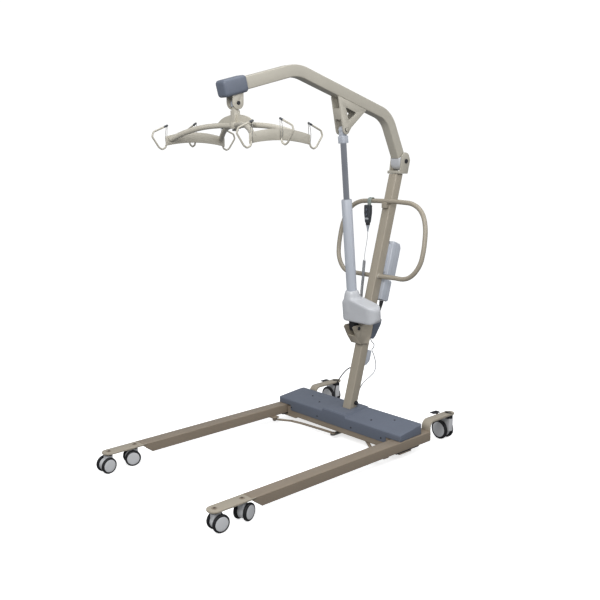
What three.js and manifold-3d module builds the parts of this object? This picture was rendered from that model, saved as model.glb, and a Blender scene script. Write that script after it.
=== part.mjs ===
// Mobile patient lift hoist. Millimetres, +Z up. The legs point along -Y, the hoist's left is +X.
// Working coordinates: X = 0 on the middle plane, Y = 0 just behind the mast's foot, Z = 0 on the floor.
// The last group shifts everything so that the origin is the centre of the footprint.
import * as THREE from 'three';
import { mergeVertices } from 'three/addons/utils/BufferGeometryUtils.js';
import Module from 'manifold-3d';

const wasm = await Module();
wasm.setup();

// ------------------------------------------------------------------ driving dimensions
const GAP = 0.3;                                   // between faces that touch
const SHIFT = [37, 427.9];                           // from working coordinates to the footprint's centre

const LEG = { x: 404, width: 64, z0: 48, z1: 97, rear: 103, scarfLow: -975, scarfHigh: -1027, wall: 3 };
const NOSE = { tip: -1190, radius: 32, thick: 8 };
const LEG_PIVOT = { x: 404, y: -80, bolt: 8 };
const ARM = { width: 50, thick: 10, riser: 102.5, bend: 35, top: 146, end: 320 };

const FRONT_CASTER = { radius: 37.5, wheel: 17, gap: 30, trail: 15, top: 87.7, neck: 14 };
const REAR_CASTER = { radius: 50, wheel: 19, gap: 28, trail: 40, top: 135.7, neck: 20 };
const FRONT_STEMS = [-1190, -1055];
const REAR_STEM = 292;

const BEAM = { x: 368, y0: -119.5, y1: 25, z0: 40, z1: 88, wall: 4 };
const TIE = { lugX: 366, lugY: -217, pin: 6, z0: 31, z1: 37 };
const CRANK = { x: 0, y: -50, arm: 90, z0: 23, z1: 30.4 };
const COVER = { x: 434, y0: -124, y1: 54, z0: 70, legZ: 98.6, wall: 3.5 };

const MAST = { size: 52, wall: 3, lean: 15.5, foot: [-10.95, 171.05], top: 1341.7 };
const YOKE = { x: 38, plate: 6, pivot: [346, 1406], pin: 6 };
const BOOM = { w: 52, h: 54, wall: 3 };
const CAP = { w: 68, h: 72, from: 305, to: 432, ease: 5 };  // along the front run from its upper corner
const HANGER = { y: -744, pivotZ: 1649, ear: 6, half: 22, round: 29 };

const LIFT_TOP = [-89, 1555];                      // pins of the lifting actuator, (y, z)
const LIFT_FOOT = [8, 565];

const PAINT = { color: 0xb2aa98, roughness: 0.45, metalness: 0.15 };
const SLATE = { color: 0x6c768a, roughness: 0.5, metalness: 0 };
const PALE = { color: 0xb4b9c2, roughness: 0.45, metalness: 0 };
const WHITE = { color: 0xe2e4e8, roughness: 0.4, metalness: 0 };
const BLACK = { color: 0x1c1c20, roughness: 0.6, metalness: 0 };
const GREY = { color: 0x9c9da2, roughness: 0.5, metalness: 0 };
const CHROME = { color: 0xd8dce6, roughness: 0.12, metalness: 1 };
const STEEL = { color: 0x9a9a9a, roughness: 0.35, metalness: 0.9 };

// ------------------------------------------------------------------ solids
const rad = (deg) => deg * Math.PI / 180;
const V = (x, y, z) => new THREE.Vector3(x, y, z);

function solid(geometry) {
  const bare = geometry.clone();
  bare.deleteAttribute('normal');
  bare.deleteAttribute('uv');
  const merged = mergeVertices(bare, 1e-4);
  const index = Array.from(merged.index.array);
  const faces = [];
  for (let i = 0; i < index.length; i += 3) {
    const [a, b, c] = [index[i], index[i + 1], index[i + 2]];
    if (a !== b && b !== c && c !== a) faces.push(a, b, c);
  }
  return new wasm.Manifold(new wasm.Mesh({
    numProp: 3,
    vertProperties: new Float32Array(merged.attributes.position.array),
    triVerts: new Uint32Array(faces),
  }));
}

function box(x0, x1, y0, y1, z0, z1) {
  const g = new THREE.BoxGeometry(x1 - x0, y1 - y0, z1 - z0);
  return solid(g.translate((x0 + x1) / 2, (y0 + y1) / 2, (z0 + z1) / 2));
}

// The same box on the left (side 1) or mirrored to the right (side -1).
function sideBox(side, x0, x1, y0, y1, z0, z1) {
  return side > 0 ? box(x0, x1, y0, y1, z0, z1) : box(-x1, -x0, y0, y1, z0, z1);
}

// A straight cylinder along an axis, from a to b; p and q are the other two coordinates in order.
function rod(axis, r, a, b, p, q, segments = 20) {
  const g = new THREE.CylinderGeometry(r, r, b - a, segments);
  g.translate(0, (a + b) / 2, 0);
  if (axis === 'x') return solid(g.rotateZ(-Math.PI / 2).translate(0, p, q));
  if (axis === 'y') return solid(g.translate(p, 0, q));
  return solid(g.rotateX(Math.PI / 2).translate(p, q, 0));
}

// An outline extruded along an axis: a (y, z) outline along x, (x, z) along y, (x, y) along z.
function prism(axis, outline, a, b) {
  const shape = new THREE.Shape(outline.map(([u, v]) => new THREE.Vector2(u, v)));
  const g = new THREE.ExtrudeGeometry(shape, { depth: b - a, bevelEnabled: false });
  const m = new THREE.Matrix4();
  if (axis === 'x') m.set(0, 0, 1, a, 1, 0, 0, 0, 0, 1, 0, 0, 0, 0, 0, 1);
  else if (axis === 'y') m.set(1, 0, 0, 0, 0, 0, -1, b, 0, 1, 0, 0, 0, 0, 0, 1);
  else m.set(1, 0, 0, 0, 0, 1, 0, 0, 0, 0, 1, a, 0, 0, 0, 1);
  return solid(g.applyMatrix4(m));
}

// Corners of an outline or route replaced with arcs; radii is one number or one per corner.
function fillet(points, radii, closed, stepDeg = 15) {
  const out = [];
  const n = points.length;
  points.forEach((p, i) => {
    const r = Array.isArray(radii) ? radii[i] : radii;
    if (!r || (!closed && (i === 0 || i === n - 1))) { out.push(p); return; }
    const at = (q) => V(q[0], q[1], q[2] ?? 0);
    const corner = at(p);
    const before = at(points[(i + n - 1) % n]);
    const after = at(points[(i + 1) % n]);
    const u = before.sub(corner).normalize(), w = after.sub(corner).normalize();
    const half = Math.acos(THREE.MathUtils.clamp(u.dot(w), -1, 1)) / 2;
    const turn = Math.PI - 2 * half;
    const reach = r / Math.tan(half);
    const centre = corner.clone().addScaledVector(u.clone().add(w).normalize(), r / Math.sin(half));
    const from = corner.clone().addScaledVector(u, reach).sub(centre);
    const to = corner.clone().addScaledVector(w, reach).sub(centre);
    const steps = Math.max(2, Math.ceil(turn / rad(stepDeg)));
    for (let k = 0; k <= steps; k++) {
      const t = k / steps;
      const q = from.clone().multiplyScalar(Math.sin((1 - t) * turn) / Math.sin(turn))
        .addScaledVector(to, Math.sin(t * turn) / Math.sin(turn)).add(centre);
      out.push(p.length === 3 ? [q.x, q.y, q.z] : [q.x, q.y]);
    }
  });
  return out;
}

// A route that is followed point by point.
class Route extends THREE.Curve {
  constructor(points) {
    super();
    this.points = points.map((p) => V(...p));
  }
  getPoint(t) {
    const k = t * (this.points.length - 1);
    const i = Math.min(Math.floor(k), this.points.length - 2);
    return this.points[i].clone().lerp(this.points[i + 1], k - i);
  }
  getTangent(t) {
    const i = Math.round(t * (this.points.length - 1));
    const a = this.points[Math.max(i - 1, 0)], b = this.points[i];
    const c = this.points[Math.min(i + 1, this.points.length - 1)];
    const before = b.clone().sub(a).normalize(), after = c.clone().sub(b).normalize();
    return before.add(after).normalize();
  }
  getPointAt(t) { return this.getPoint(t); }
  getTangentAt(t) { return this.getTangent(t); }
  getSpacedPoints() { return this.points.map((p) => p.clone()); }
}

function sweep(points, section) {
  const shape = new THREE.Shape(section.map(([u, v]) => new THREE.Vector2(u, v)));
  return solid(new THREE.ExtrudeGeometry(shape, {
    steps: points.length - 1, bevelEnabled: false, extrudePath: new Route(points),
  }));
}

const round = (r, sides) => Array.from({ length: sides }, (_, i) => {
  const a = (i + 0.5) / sides * 2 * Math.PI;
  return [r * Math.cos(a), r * Math.sin(a)];
});
const rect = (w, h) => [[-w / 2, -h / 2], [w / 2, -h / 2], [w / 2, h / 2], [-w / 2, h / 2]];
const tube = (points, r, sides = 8) => sweep(points, round(r, sides));
const spline = (points, steps) => new THREE.CatmullRomCurve3(points.map((p) => V(...p)), false, 'centripetal')
  .getSpacedPoints(steps).map((p) => [p.x, p.y, p.z]);
const all = (first, ...rest) => rest.reduce((a, b) => a.add(b), first);
const cut = (first, ...rest) => rest.reduce((a, b) => a.subtract(b), first);

// A turned solid: profile of (radius, height) pairs about the Z axis.
function turned(profile, segments = 20) {
  const g = new THREE.LatheGeometry(profile.map(([r, h]) => new THREE.Vector2(r, h)), segments);
  return solid(g.rotateX(Math.PI / 2));
}

const hoist = new THREE.Group();
hoist.position.set(SHIFT[0], SHIFT[1], 0);

function add(name, manifold, look, parent = hoist) {
  const m = manifold.getMesh();
  const g = new THREE.BufferGeometry();
  g.setAttribute('position', new THREE.BufferAttribute(new Float32Array(m.vertProperties), 3));
  g.setIndex(new THREE.BufferAttribute(new Uint32Array(m.triVerts), 1));
  g.computeVertexNormals();
  const mesh = new THREE.Mesh(g, new THREE.MeshStandardMaterial(look));
  mesh.name = name;
  parent.add(mesh);
  return mesh;
}

// ------------------------------------------------------------------ base beam, crank and tie bars
function makeBase() {
  const outline = [[-BEAM.x, BEAM.y0], [BEAM.x, BEAM.y0], [BEAM.x, LEG_PIVOT.y], [338, BEAM.y1],
    [-338, BEAM.y1], [-BEAM.x, LEG_PIVOT.y]];
  let beam = prism('z', outline, BEAM.z0, BEAM.z1);
  beam = cut(beam, box(-400, 400, BEAM.y0 + BEAM.wall, BEAM.y1 - BEAM.wall,
    BEAM.z0 + BEAM.wall, BEAM.z1 - BEAM.wall));
  for (const side of [1, -1]) {
    const x = side * LEG_PIVOT.x;
    // each leg turns between a lower and an upper plate
    const low = sideBox(side, 300, 430, -124, -37, 33.5, 40.2);
    const step = sideBox(side, 296, 352, -117, -43, 87, 104);
    const high = sideBox(side, 296, 424, -117, -43, 98, 104);
    beam = all(beam, low, step, high);
    beam = cut(beam, rod('z', LEG_PIVOT.bolt + 0.5, 30, 110, x, LEG_PIVOT.y, 12));
  }
  // bore for the crank's shaft
  beam = cut(beam, rod('z', 9, 38, 45, CRANK.x, CRANK.y, 12));
  // seat around the foot of the mast
  const seat = box(-34, 34, -70, 18, 87, 122);
  beam = all(beam, seat);
  beam = cut(beam, mastBar(GAP, -100, 1240));
  add('base_beam', beam, PAINT);

  const drive = cut(box(-75, 75, -98, -4, BEAM.z0 + BEAM.wall + GAP, BEAM.z1 - BEAM.wall - GAP),
    rod('z', 8.6, 40, 70, CRANK.x, CRANK.y, 12));
  add('leg_drive', drive, BLACK);

  for (const [side, tag] of [[1, 'left'], [-1, 'right']]) {
    const x = side * LEG_PIVOT.x;
    const bolt = all(rod('z', LEG_PIVOT.bolt, 27, 111, x, LEG_PIVOT.y, 12),
      rod('z', 14, 26, 33.2, x, LEG_PIVOT.y, 12), rod('z', 13, 104.3, 111, x, LEG_PIVOT.y, 6));
    add(`pivot_bolt_${tag}`, bolt, STEEL);
  }

  // crank under the beam: one pin ahead of its shaft, one behind it
  const arm = prism('z', fillet([[-13, -CRANK.arm - 13], [13, -CRANK.arm - 13], [13, CRANK.arm + 13],
    [-13, CRANK.arm + 13]], 12.5, true, 45).map(([x, y]) => [x + CRANK.x, y + CRANK.y]), CRANK.z0, CRANK.z1);
  const crank = all(arm, rod('z', 8, 24, 66, CRANK.x, CRANK.y, 12),
    rod('z', 5.5, 24, 38.6, CRANK.x, CRANK.y - CRANK.arm, 12),
    rod('z', 5.5, 24, 38.6, CRANK.x, CRANK.y + CRANK.arm, 12));
  add('leg_crank', crank, STEEL);

  const eye = (x, y) => rod('z', 12, TIE.z0, TIE.z1, x, y, 16);
  const hole = (x, y, r) => rod('z', r, TIE.z0 - 2, TIE.z1 + 2, x, y, 12);
  const front = [CRANK.x, CRANK.y - CRANK.arm], rear = [CRANK.x, CRANK.y + CRANK.arm];
  const bar = (route) => sweep(route.map(([x, y]) => [x, y, (TIE.z0 + TIE.z1) / 2]),
    rect(TIE.z1 - TIE.z0, 16));
  const right = [[-TIE.lugX, TIE.lugY], [-330, -197], [-285, -171], [-220, -157], [-81, -145], front];
  const left = [[TIE.lugX, TIE.lugY], rear];
  for (const [tag, route, pin] of [['right', right, front], ['left', left, rear]]) {
    let piece = bar(route);
    const flat = box(-500, 500, -400, 300, TIE.z0, TIE.z1);
    piece = all(piece.intersect(flat), eye(...route[0]), eye(...pin));
    piece = cut(piece, hole(...route[0], TIE.pin + 0.5), hole(...pin, 8));
    add(`tie_bar_${tag}`, piece, PAINT);
  }
}

// ------------------------------------------------------------------ legs, nose plates and rear arms
function makeLegs() {
  for (const [side, tag] of [[1, 'left'], [-1, 'right']]) {
    const x0 = side * LEG.x - LEG.width / 2, x1 = side * LEG.x + LEG.width / 2;
    let leg = prism('x', [[LEG.rear, LEG.z0], [LEG.rear, LEG.z1], [LEG.scarfHigh, LEG.z1],
      [LEG.scarfHigh, LEG.z1 - NOSE.thick - 1], [LEG.scarfLow, LEG.z0]].reverse(), x0, x1);
    leg = cut(leg, box(x0 + LEG.wall, x1 - LEG.wall, LEG.scarfLow + 20, LEG.rear + 5,
      LEG.z0 + LEG.wall, LEG.z1 - LEG.wall));
    const plate = all(box(x0, x1, NOSE.tip, LEG.scarfHigh + 12, LEG.z1 - 1 - NOSE.thick, LEG.z1 - 1),
      rod('z', NOSE.radius, LEG.z1 - 1 - NOSE.thick, LEG.z1 - 1, side * LEG.x, NOSE.tip, 32));
    const lug = sideBox(side, 350, 430, -236, -199, 41.5, 49.5);
    const pin = all(rod('z', TIE.pin, 26.5, 43, side * TIE.lugX, TIE.lugY, 12),
      rod('z', 10, 25, 30.5, side * TIE.lugX, TIE.lugY, 12));
    const glide = sideBox(side, LEG.x - 27, LEG.x + 27, -148, 20, 41, LEG.z0 + 1);
    leg = all(leg, plate, lug, pin, glide);
    leg = cut(leg, rod('z', LEG_PIVOT.bolt + 0.5, 38, 105, side * LEG.x, LEG_PIVOT.y, 12));
    const t = ARM.thick, h = ARM.top;
    const outer = fillet([[ARM.riser, 56], [ARM.riser, h], [ARM.end - ARM.width / 2, h]], ARM.bend, false);
    const inner = fillet([[ARM.riser + t, 56], [ARM.riser + t, h - t], [ARM.end - ARM.width / 2, h - t]],
      ARM.bend - t, false);
    const arm = all(prism('x', [...outer, ...inner.reverse()].reverse(), side * LEG.x - ARM.width / 2,
      side * LEG.x + ARM.width / 2),
    rod('z', ARM.width / 2, h - t, h, side * LEG.x, ARM.end - ARM.width / 2, 24));
    add(`leg_${tag}`, leg.add(arm), PAINT);
  }
}

// ------------------------------------------------------------------ twin-wheel casters
// Local frame: swivel axis on Z, axle along X, the wheels trail towards +Y.
function wheelPair(c) {
  const R = c.radius, in0 = c.gap / 2, out = in0 + c.wheel;
  const one = [[0, in0], [R, in0], [R, out - 5], [R * 0.9, out], [0, out]];
  const wheel = turned(one, 20).transform([0, 0, -1, 0, 0, 1, 0, 0, 1, 0, 0, 0, 0, 0, 0, 1]);
  const other = wheel.mirror([1, 0, 0]);
  const axle = rod('x', 5, -in0 - 2, in0 + 2, 0, 0, 8);
  return all(wheel, other, axle).translate([0, c.trail, R]);
}

function caster(tag, c, x, y, yaw, rear) {
  const g = new THREE.Group();
  g.position.set(x, y, 0);
  g.rotation.z = rad(yaw);
  hoist.add(g);
  const half = c.gap / 2 - 1, R = c.radius;
  let body = all(rod('x', R * 0.8, -half, half, c.trail, R, 16),
    box(-half, half, -c.neck + 2, c.trail + 6, R, 2 * R + (rear ? 18 : 3)),
    rod('z', c.neck, 2 * R + 1.2, c.top, 0, 0, 16));
  if (rear) body = all(body, box(-half, half, c.trail, c.trail + 28, R + 30, 2 * R + 3));
  body = cut(body, rod('x', 5.8, -half - 1, half + 1, c.trail, R, 8));
  if (rear) {
    const slot = box(-4, 4, c.trail + 12, c.trail + 40, 2 * R - 12, 2 * R + 5);
    body = cut(body, rod('x', 4.5, -40, 40, c.trail + 20, 2 * R - 4, 12), slot);
  }
  add(`caster_${tag}_housing`, body, GREY, g);
  add(`caster_${tag}_wheels`, wheelPair(c), BLACK, g);
  if (rear) {
    const py = c.trail + 20, pz = 2 * R - 4;
    let pedal = all(box(-3.5, 3.5, py - 6, py + 22, pz - 6, pz + 6),
      prism('x', [[py, pz + 6], [py + 26, pz + 30], [py + 26, pz + 20], [py + 6, pz - 4]], -3.5, 3.5),
      box(-23, 23, py + 20, py + 50, 2 * R + 18, 2 * R + 25),
      rod('x', 4, -half + 1, half - 1, py, pz, 12));
    add(`caster_${tag}_pedal`, pedal, BLACK, g);
  }
}

function makeCasters() {
  const x = LEG.x;
  caster('front_left', FRONT_CASTER, x, FRONT_STEMS[0], -6, false);
  caster('mid_left', FRONT_CASTER, x, FRONT_STEMS[1], 17, false);
  caster('front_right', FRONT_CASTER, -x, FRONT_STEMS[0], 183, false);
  caster('mid_right', FRONT_CASTER, -x, FRONT_STEMS[1], 162, false);
  caster('rear_left', REAR_CASTER, x, REAR_STEM, 85, true);
  caster('rear_right', REAR_CASTER, -x, REAR_STEM, 88, true);
}

// ------------------------------------------------------------------ base cover
function coverBlock(inset) {
  const c = COVER, i = inset;
  const yz = [[c.y0 + i, 40], [c.y1 - i, 40], [c.y1 - i, 142 - i], [c.y1 - 4 - i, 146.5 - i],
    [c.y0 + 4 + i, 128 - i], [c.y0 + i, 124 - i]];
  const plan = fillet([[-c.x + i, c.y0 + i], [c.x - i, c.y0 + i], [c.x - 7 - i, c.y1 - i],
    [-c.x + 7 + i, c.y1 - i]], [6, 6, 24, 24], true, 22.5);
  const block = prism('x', yz, -c.x, c.x).intersect(prism('z', plan, 30, 200));
  // raised middle with sloping flanks
  const rise = 15;
  const mid = prism('y', [[-102 + i, 110], [76 - i, 110], [60 - i, 158.5 - i], [-86 + i, 158.5 - i]],
    c.y0 + i, c.y1 - i);
  const lid = prism('x', [[c.y0 + i, 100], [c.y1 - i, 100], [c.y1 - i, 150 - i], [30, 152 - i],
    [c.y0 + 5 + i, 128 + rise - i], [c.y0 + i, 122 + rise - i]], -200, 200);
  return block.add(mid.intersect(lid));
}

function makeCover() {
  const c = COVER;
  let shell = cut(coverBlock(0), coverBlock(c.wall));
  shell = cut(shell, box(-500, 500, -200, 200, 0, c.z0));
  for (const side of [1, -1]) {
    shell = cut(shell, sideBox(side, 341, 500, -200, 200, 0, c.legZ));
  }
  shell = cut(shell, mastBar(3, -100, 200), box(-300, 300, 30, 60, 0, 86));
  add('base_cover', shell, SLATE);
}

// ------------------------------------------------------------------ mast: local frame along the column
const mastFrame = () => {
  const g = new THREE.Group();
  g.position.set(0, MAST.foot[0], MAST.foot[1]);
  g.rotation.x = -rad(MAST.lean);
  hoist.add(g);
  return g;
};
function mastBar(grow, s0, s1) {
  const h = MAST.size / 2 + grow;
  return box(-h, h, -h, h, s0, s1).rotate([-MAST.lean, 0, 0]).translate([0, MAST.foot[0], MAST.foot[1]]);
}
const onMast = (n, s) => {
  const a = rad(MAST.lean);
  return [MAST.foot[0] + n * Math.cos(a) + s * Math.sin(a), MAST.foot[1] - n * Math.sin(a) + s * Math.cos(a)];
};

function makeMast() {
  const h = MAST.size / 2 - MAST.wall;
  const bore = box(-h, h, -h, h, -100, 1300).rotate([-MAST.lean, 0, 0])
    .translate([0, MAST.foot[0], MAST.foot[1]]);
  const mast = cut(mastBar(0, -120, 1300), bore).intersect(box(-60, 60, -200, 600, BEAM.z1 + 0.6, MAST.top));
  add('mast', mast, PAINT);

  const knob = all(rod('x', 10, 27, 40, -3, 172, 20), rod('x', 7, 26 + GAP, 30, -3, 172, 12));
  add('mast_lock_knob', knob, BLACK);

  // yoke: level plate and two ears
  const ears = [[300, 1342], [363, 1342], [363, 1344], [372, 1371], [381, 1412], [374, 1432], [355, 1448],
    [336, 1452], [324, 1446], [314, 1433]];
  const [py, pz] = YOKE.pivot;
  let yoke = all(prism('x', ears, YOKE.x - YOKE.plate, YOKE.x),
    prism('x', ears, -YOKE.x, -YOKE.x + YOKE.plate), box(-YOKE.x, YOKE.x, 287, 363, 1342, 1358));
  yoke = cut(yoke, rod('x', YOKE.pin + 0.5, -60, 60, py, pz, 12));
  add('mast_yoke', yoke, PAINT);
  const pin = all(rod('x', YOKE.pin, -39, 39, py, pz, 12), rod('x', 10.5, 38.3, 43.5, py, pz, 14),
    rod('x', 10.5, -43.5, -38.3, py, pz, 14));
  add('boom_pivot_pin', pin, BLACK);
}

// ------------------------------------------------------------------ boom, end cap, hanger clevis
const BOOM_ROUTE = fillet([[0, 324, 1432.5], [0, 225, 1632], [0, -403, 1813], [0, -812, 1702.5]],
  [0, 140, 200, 0], false, 6);
const FRONT_RUN = (() => {
  const a = V(0, -403, 1813), b = V(0, -812, 1702.5);
  return { from: a, dir: b.clone().sub(a).normalize() };
})();

// A block lying along the boom's front run, between two distances from its upper corner.
function frontBlock(w, h, a, b) {
  const g = new THREE.BoxGeometry(w, b - a, h);
  const slope = Math.atan2(FRONT_RUN.dir.z, FRONT_RUN.dir.y);
  const mid = FRONT_RUN.from.clone().addScaledVector(FRONT_RUN.dir, (a + b) / 2);
  return solid(g.rotateX(slope).translate(mid.x, mid.y, mid.z));
}

function makeBoom() {
  const extend = (route) => {
    const p = route.map((q) => V(...q)), n = p.length - 1;
    p[0].addScaledVector(p[0].clone().sub(p[1]).normalize(), 2);
    p[n].addScaledVector(p[n].clone().sub(p[n - 1]).normalize(), 2);
    return p.map((q) => [q.x, q.y, q.z]);
  };
  const outer = sweep(BOOM_ROUTE, rect(BOOM.w, BOOM.h));
  const inner = sweep(extend(BOOM_ROUTE), rect(BOOM.w - 2 * BOOM.wall, BOOM.h - 2 * BOOM.wall));
  add('boom', cut(outer, inner), PAINT);

  const [py, pz] = YOKE.pivot;
  let block = prism('x', [[301, 1419.6], [303, 1385], [316, 1370], [374, 1370], [388, 1386], [388, 1412],
    [372, 1432], [349, 1443.4]], -30, 30);
  block = all(block, rod('x', 16, -31, 31, py, pz, 20));
  block = cut(block, rod('x', YOKE.pin + 0.5, -60, 60, py, pz, 12));
  add('boom_end_block', block, WHITE);

  // cap: outer block with eased edges, a socket for the boom and a slot for the clevis
  const { w, h, from: a, to: b, ease } = CAP;
  let cap = frontBlock(w, h, a, b);
  cap = cap.intersect(all(frontBlock(w - 2 * ease, h, a, b), frontBlock(w, h - 2 * ease, a, b),
    frontBlock(w - 0.8 * ease, h - 0.8 * ease, a, b)));
  cap = cap.intersect(frontBlock(w, h, a + ease, b - ease).add(frontBlock(w - 2 * ease, h - 2 * ease, a, b)));
  cap = cut(cap, frontBlock(BOOM.w + 2 * GAP, BOOM.h + 2 * GAP, a - 10, 424.6),
    box(-23, 23, HANGER.y - 30, HANGER.y + 30, 1600, 1715));
  add('boom_end_cap', cap, SLATE);

  // clevis under the boom: two ears on a slanting foot
  const slope = FRONT_RUN.dir.z / FRONT_RUN.dir.y;
  const under = (y) => FRONT_RUN.from.z + (y - FRONT_RUN.from.y) * slope
    - (BOOM.h / 2 + 0.5) / Math.abs(FRONT_RUN.dir.y);
  const y0 = HANGER.y - HANGER.round, y1 = HANGER.y + HANGER.round;
  const zc = HANGER.pivotZ + 2;
  const arc = Array.from({ length: 13 }, (_, i) => {
    const t = Math.PI + i / 12 * Math.PI;
    return [HANGER.y + HANGER.round * Math.cos(t), zc + HANGER.round * Math.sin(t)];
  });
  const ear = [...arc, [y1, under(y1)], [y0, under(y0)]];
  const foot = [[y0, under(y0) - 6], [y1, under(y1) - 6], [y1, under(y1)], [y0, under(y0)]];
  const outside = HANGER.half, inside = HANGER.half - HANGER.ear;
  let clevis = all(prism('x', ear, inside, outside), prism('x', ear, -outside, -inside),
    prism('x', foot, -outside, outside));
  clevis = cut(clevis, rod('x', 5.5, -60, 60, HANGER.y, HANGER.pivotZ, 12));
  add('hanger_clevis', clevis, PAINT);
  const pin = all(rod('x', 5, -24, 24, HANGER.y, HANGER.pivotZ, 12),
    rod('x', 8, 22.3, 27, HANGER.y, HANGER.pivotZ, 12), rod('x', 8, -27, -22.3, HANGER.y, HANGER.pivotZ, 12));
  add('hanger_pin', pin, BLACK);

  // bracket for the actuator's upper pin
  const line = (y) => 1632 + (225 - y) * (1813 - 1632) / 628 - (BOOM.h / 2 + 0.5) / 0.961;
  const plate = [[-145, line(-145)], ...Array.from({ length: 9 }, (_, i) => {
    const t = rad(195) + i / 8 * rad(145);
    return [LIFT_TOP[0] + 22 * Math.cos(t), LIFT_TOP[1] + 22 * Math.sin(t)];
  }), [-55, 1566], [52, line(52)]];
  const windowOutline = fillet([[-95, 1661], [-74, 1598], [-18, 1636]], 4, true, 45);
  let bracket = all(prism('x', plate, 20.3, 26), prism('x', plate, -26, -20.3));
  bracket = cut(bracket, prism('x', windowOutline, -60, 60));
  bracket = all(bracket, prism('x', [[-133, 1654], [-122, 1603], [-116, 1604], [-127, 1655]], -22, 22),
    prism('x', [[-30, line(-30) - 6], [20, line(20) - 6], [20, line(20)], [-30, line(-30)]], -22, 22));
  bracket = all(bracket, rod('x', 9, 25, 30.5, ...LIFT_TOP, 16), rod('x', 9, -30.5, -25, ...LIFT_TOP, 16));
  add('boom_bracket', bracket, PAINT);
}

// ------------------------------------------------------------------ lifting actuator, in its own frame
function makeActuator() {
  const dy = LIFT_TOP[0] - LIFT_FOOT[0], dz = LIFT_TOP[1] - LIFT_FOOT[1];
  const L = Math.hypot(dy, dz);
  const g = new THREE.Group();
  g.position.set(0, ...LIFT_FOOT);
  g.rotation.x = Math.atan2(-dy, dz);
  hoist.add(g);

  const sleeve = cut(rod('z', 26, 141, 658, 0, 0, 28), rod('z', 15.6, 150, 670, 0, 0, 24));
  add('actuator_tube', sleeve, PALE, g);
  add('actuator_rod', rod('z', 15, 432, 931, 0, 0, 24), CHROME, g);

  let end = all(prism('z', fillet(rect(40, 40), 8, true, 45), 931 + GAP, 966),
    prism('x', [[-15, 960], [15, 960], [15, L], [-15, L]], -13, 13), rod('x', 17, -13, 13, 0, L, 20));
  end = all(end, rod('x', 7, -19.6, 19.6, 0, L, 14));
  add('actuator_rod_end', end, PALE, g);

  // housing: eye at the bottom, broad motor case stepping down to one side, round collar
  const plan = fillet([[-44, -40], [164, -40], [164, 45], [-44, 45]], [24, 36, 36, 24], true, 18);
  const side = fillet([[-32, 46], [148, 46], [164, 60], [164, 120], [30, 156], [-44, 148], [-44, 58]],
    [8, 8, 20, 22, 10, 12, 10], true, 30);
  let housing = prism('z', plan, 30, 165).intersect(prism('y', side, -50, 60));
  housing = all(housing, turned([[0, 110], [38, 110], [37, 156], [33.5, 190], [31, 199], [0, 199]], 28),
    prism('x', [[-17, 0], [17, 0], [17, 52], [-17, 52]], -18, 18), rod('x', 17, -18, 18, 0, 0, 20));
  housing = cut(housing, rod('z', 26 + GAP, 140.6, 210, 0, 0, 28), rod('x', 6.5, -40, 40, 0, 0, 12));
  add('motor_housing', housing, WHITE, g);

  // mast bracket with its pin
  const plate = [[-33, 574], [-6, 523], [25, 480], [86, 477], [104, 517], [113, 556], [117, 596], [80, 596],
    [62, 582], [-22, 582]];
  let bracket = all(prism('x', plate, 26 + GAP, 34.5), prism('x', plate, -34.5, -26 - GAP),
    prism('x', [[-6, 523], [25, 480], [31, 484], [0, 527]], -30, 30));
  bracket = cut(bracket, rod('x', 6.5, -60, 60, ...LIFT_FOOT, 12));
  add('mast_bracket', bracket, PAINT);
  const pin = all(rod('x', 6, -35.5, 35.5, ...LIFT_FOOT, 12), rod('x', 9, 34.8, 39, ...LIFT_FOOT, 14),
    rod('x', 9, -39, -34.8, ...LIFT_FOOT, 14));
  add('actuator_lower_pin', pin, BLACK);
}

// ------------------------------------------------------------------ push handle
function makeHandle() {
  const half = [[27.6, 819], [66, 819], [133, 820], [186, 820], [223, 831], [256, 859], [282, 906],
    [290, 965], [289, 1024], [282, 1078], [262, 1132], [228, 1171], [178, 1194], [116, 1200]];
  const at = ([x, z]) => [x, 163.8 + (z - 815) * 0.184, z];
  const route = [...half.map(at), ...half.map(([x, z]) => at([-x, z])).reverse()];
  const bar = tube(spline(route, 46), 12, 8);
  const lump = cut(box(-17, 17, 226, 262, 1166, 1196), mastBar(GAP, 0, 1300));
  add('push_handle', all(bar.subtract(mastBar(GAP, 0, 1300)), lump), PAINT);
}

// ------------------------------------------------------------------ boxes behind the mast
function makeElectrics() {
  const g = mastFrame();
  const back = MAST.size / 2 + GAP;
  const half = 46;
  const pack = prism('x', [[34, 687], [96, 687], [102, 693], [102, 842], [90, 862], [40, 866], [34, 860]],
    -half, half);
  add('battery', all(pack, box(-28, 28, back, 35, 700, 848)), PALE, g);
  const nub = box(-14, 14, 80, 92, 634, 646);
  const control = prism('x', [[back, 556], [78, 551], [84, 558], [84, 655], [76, 663], [back, 663]],
    -half, half);
  add('control_box', all(control, nub), PALE, g);
  const boot = turned([[0, 0], [6, 0], [11, 50], [11, 52], [0, 52]], 16).translate([20, 62, 498]);
  add('cable_boot', boot, BLACK, g);
  const shroud = prism('x', [[back, 345], [48, 345], [60, 362], [84, 428], [84, 456], [back, 456]], -30, 30);
  add('cable_shroud', shroud, SLATE, g);
  const small = prism('x', [[back, 200], [44, 206], [60, 226], [62, 240], [62, 276], [56, 284], [back, 284]],
    -22, 22);
  add('junction_box', small, PALE, g);
}

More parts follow.
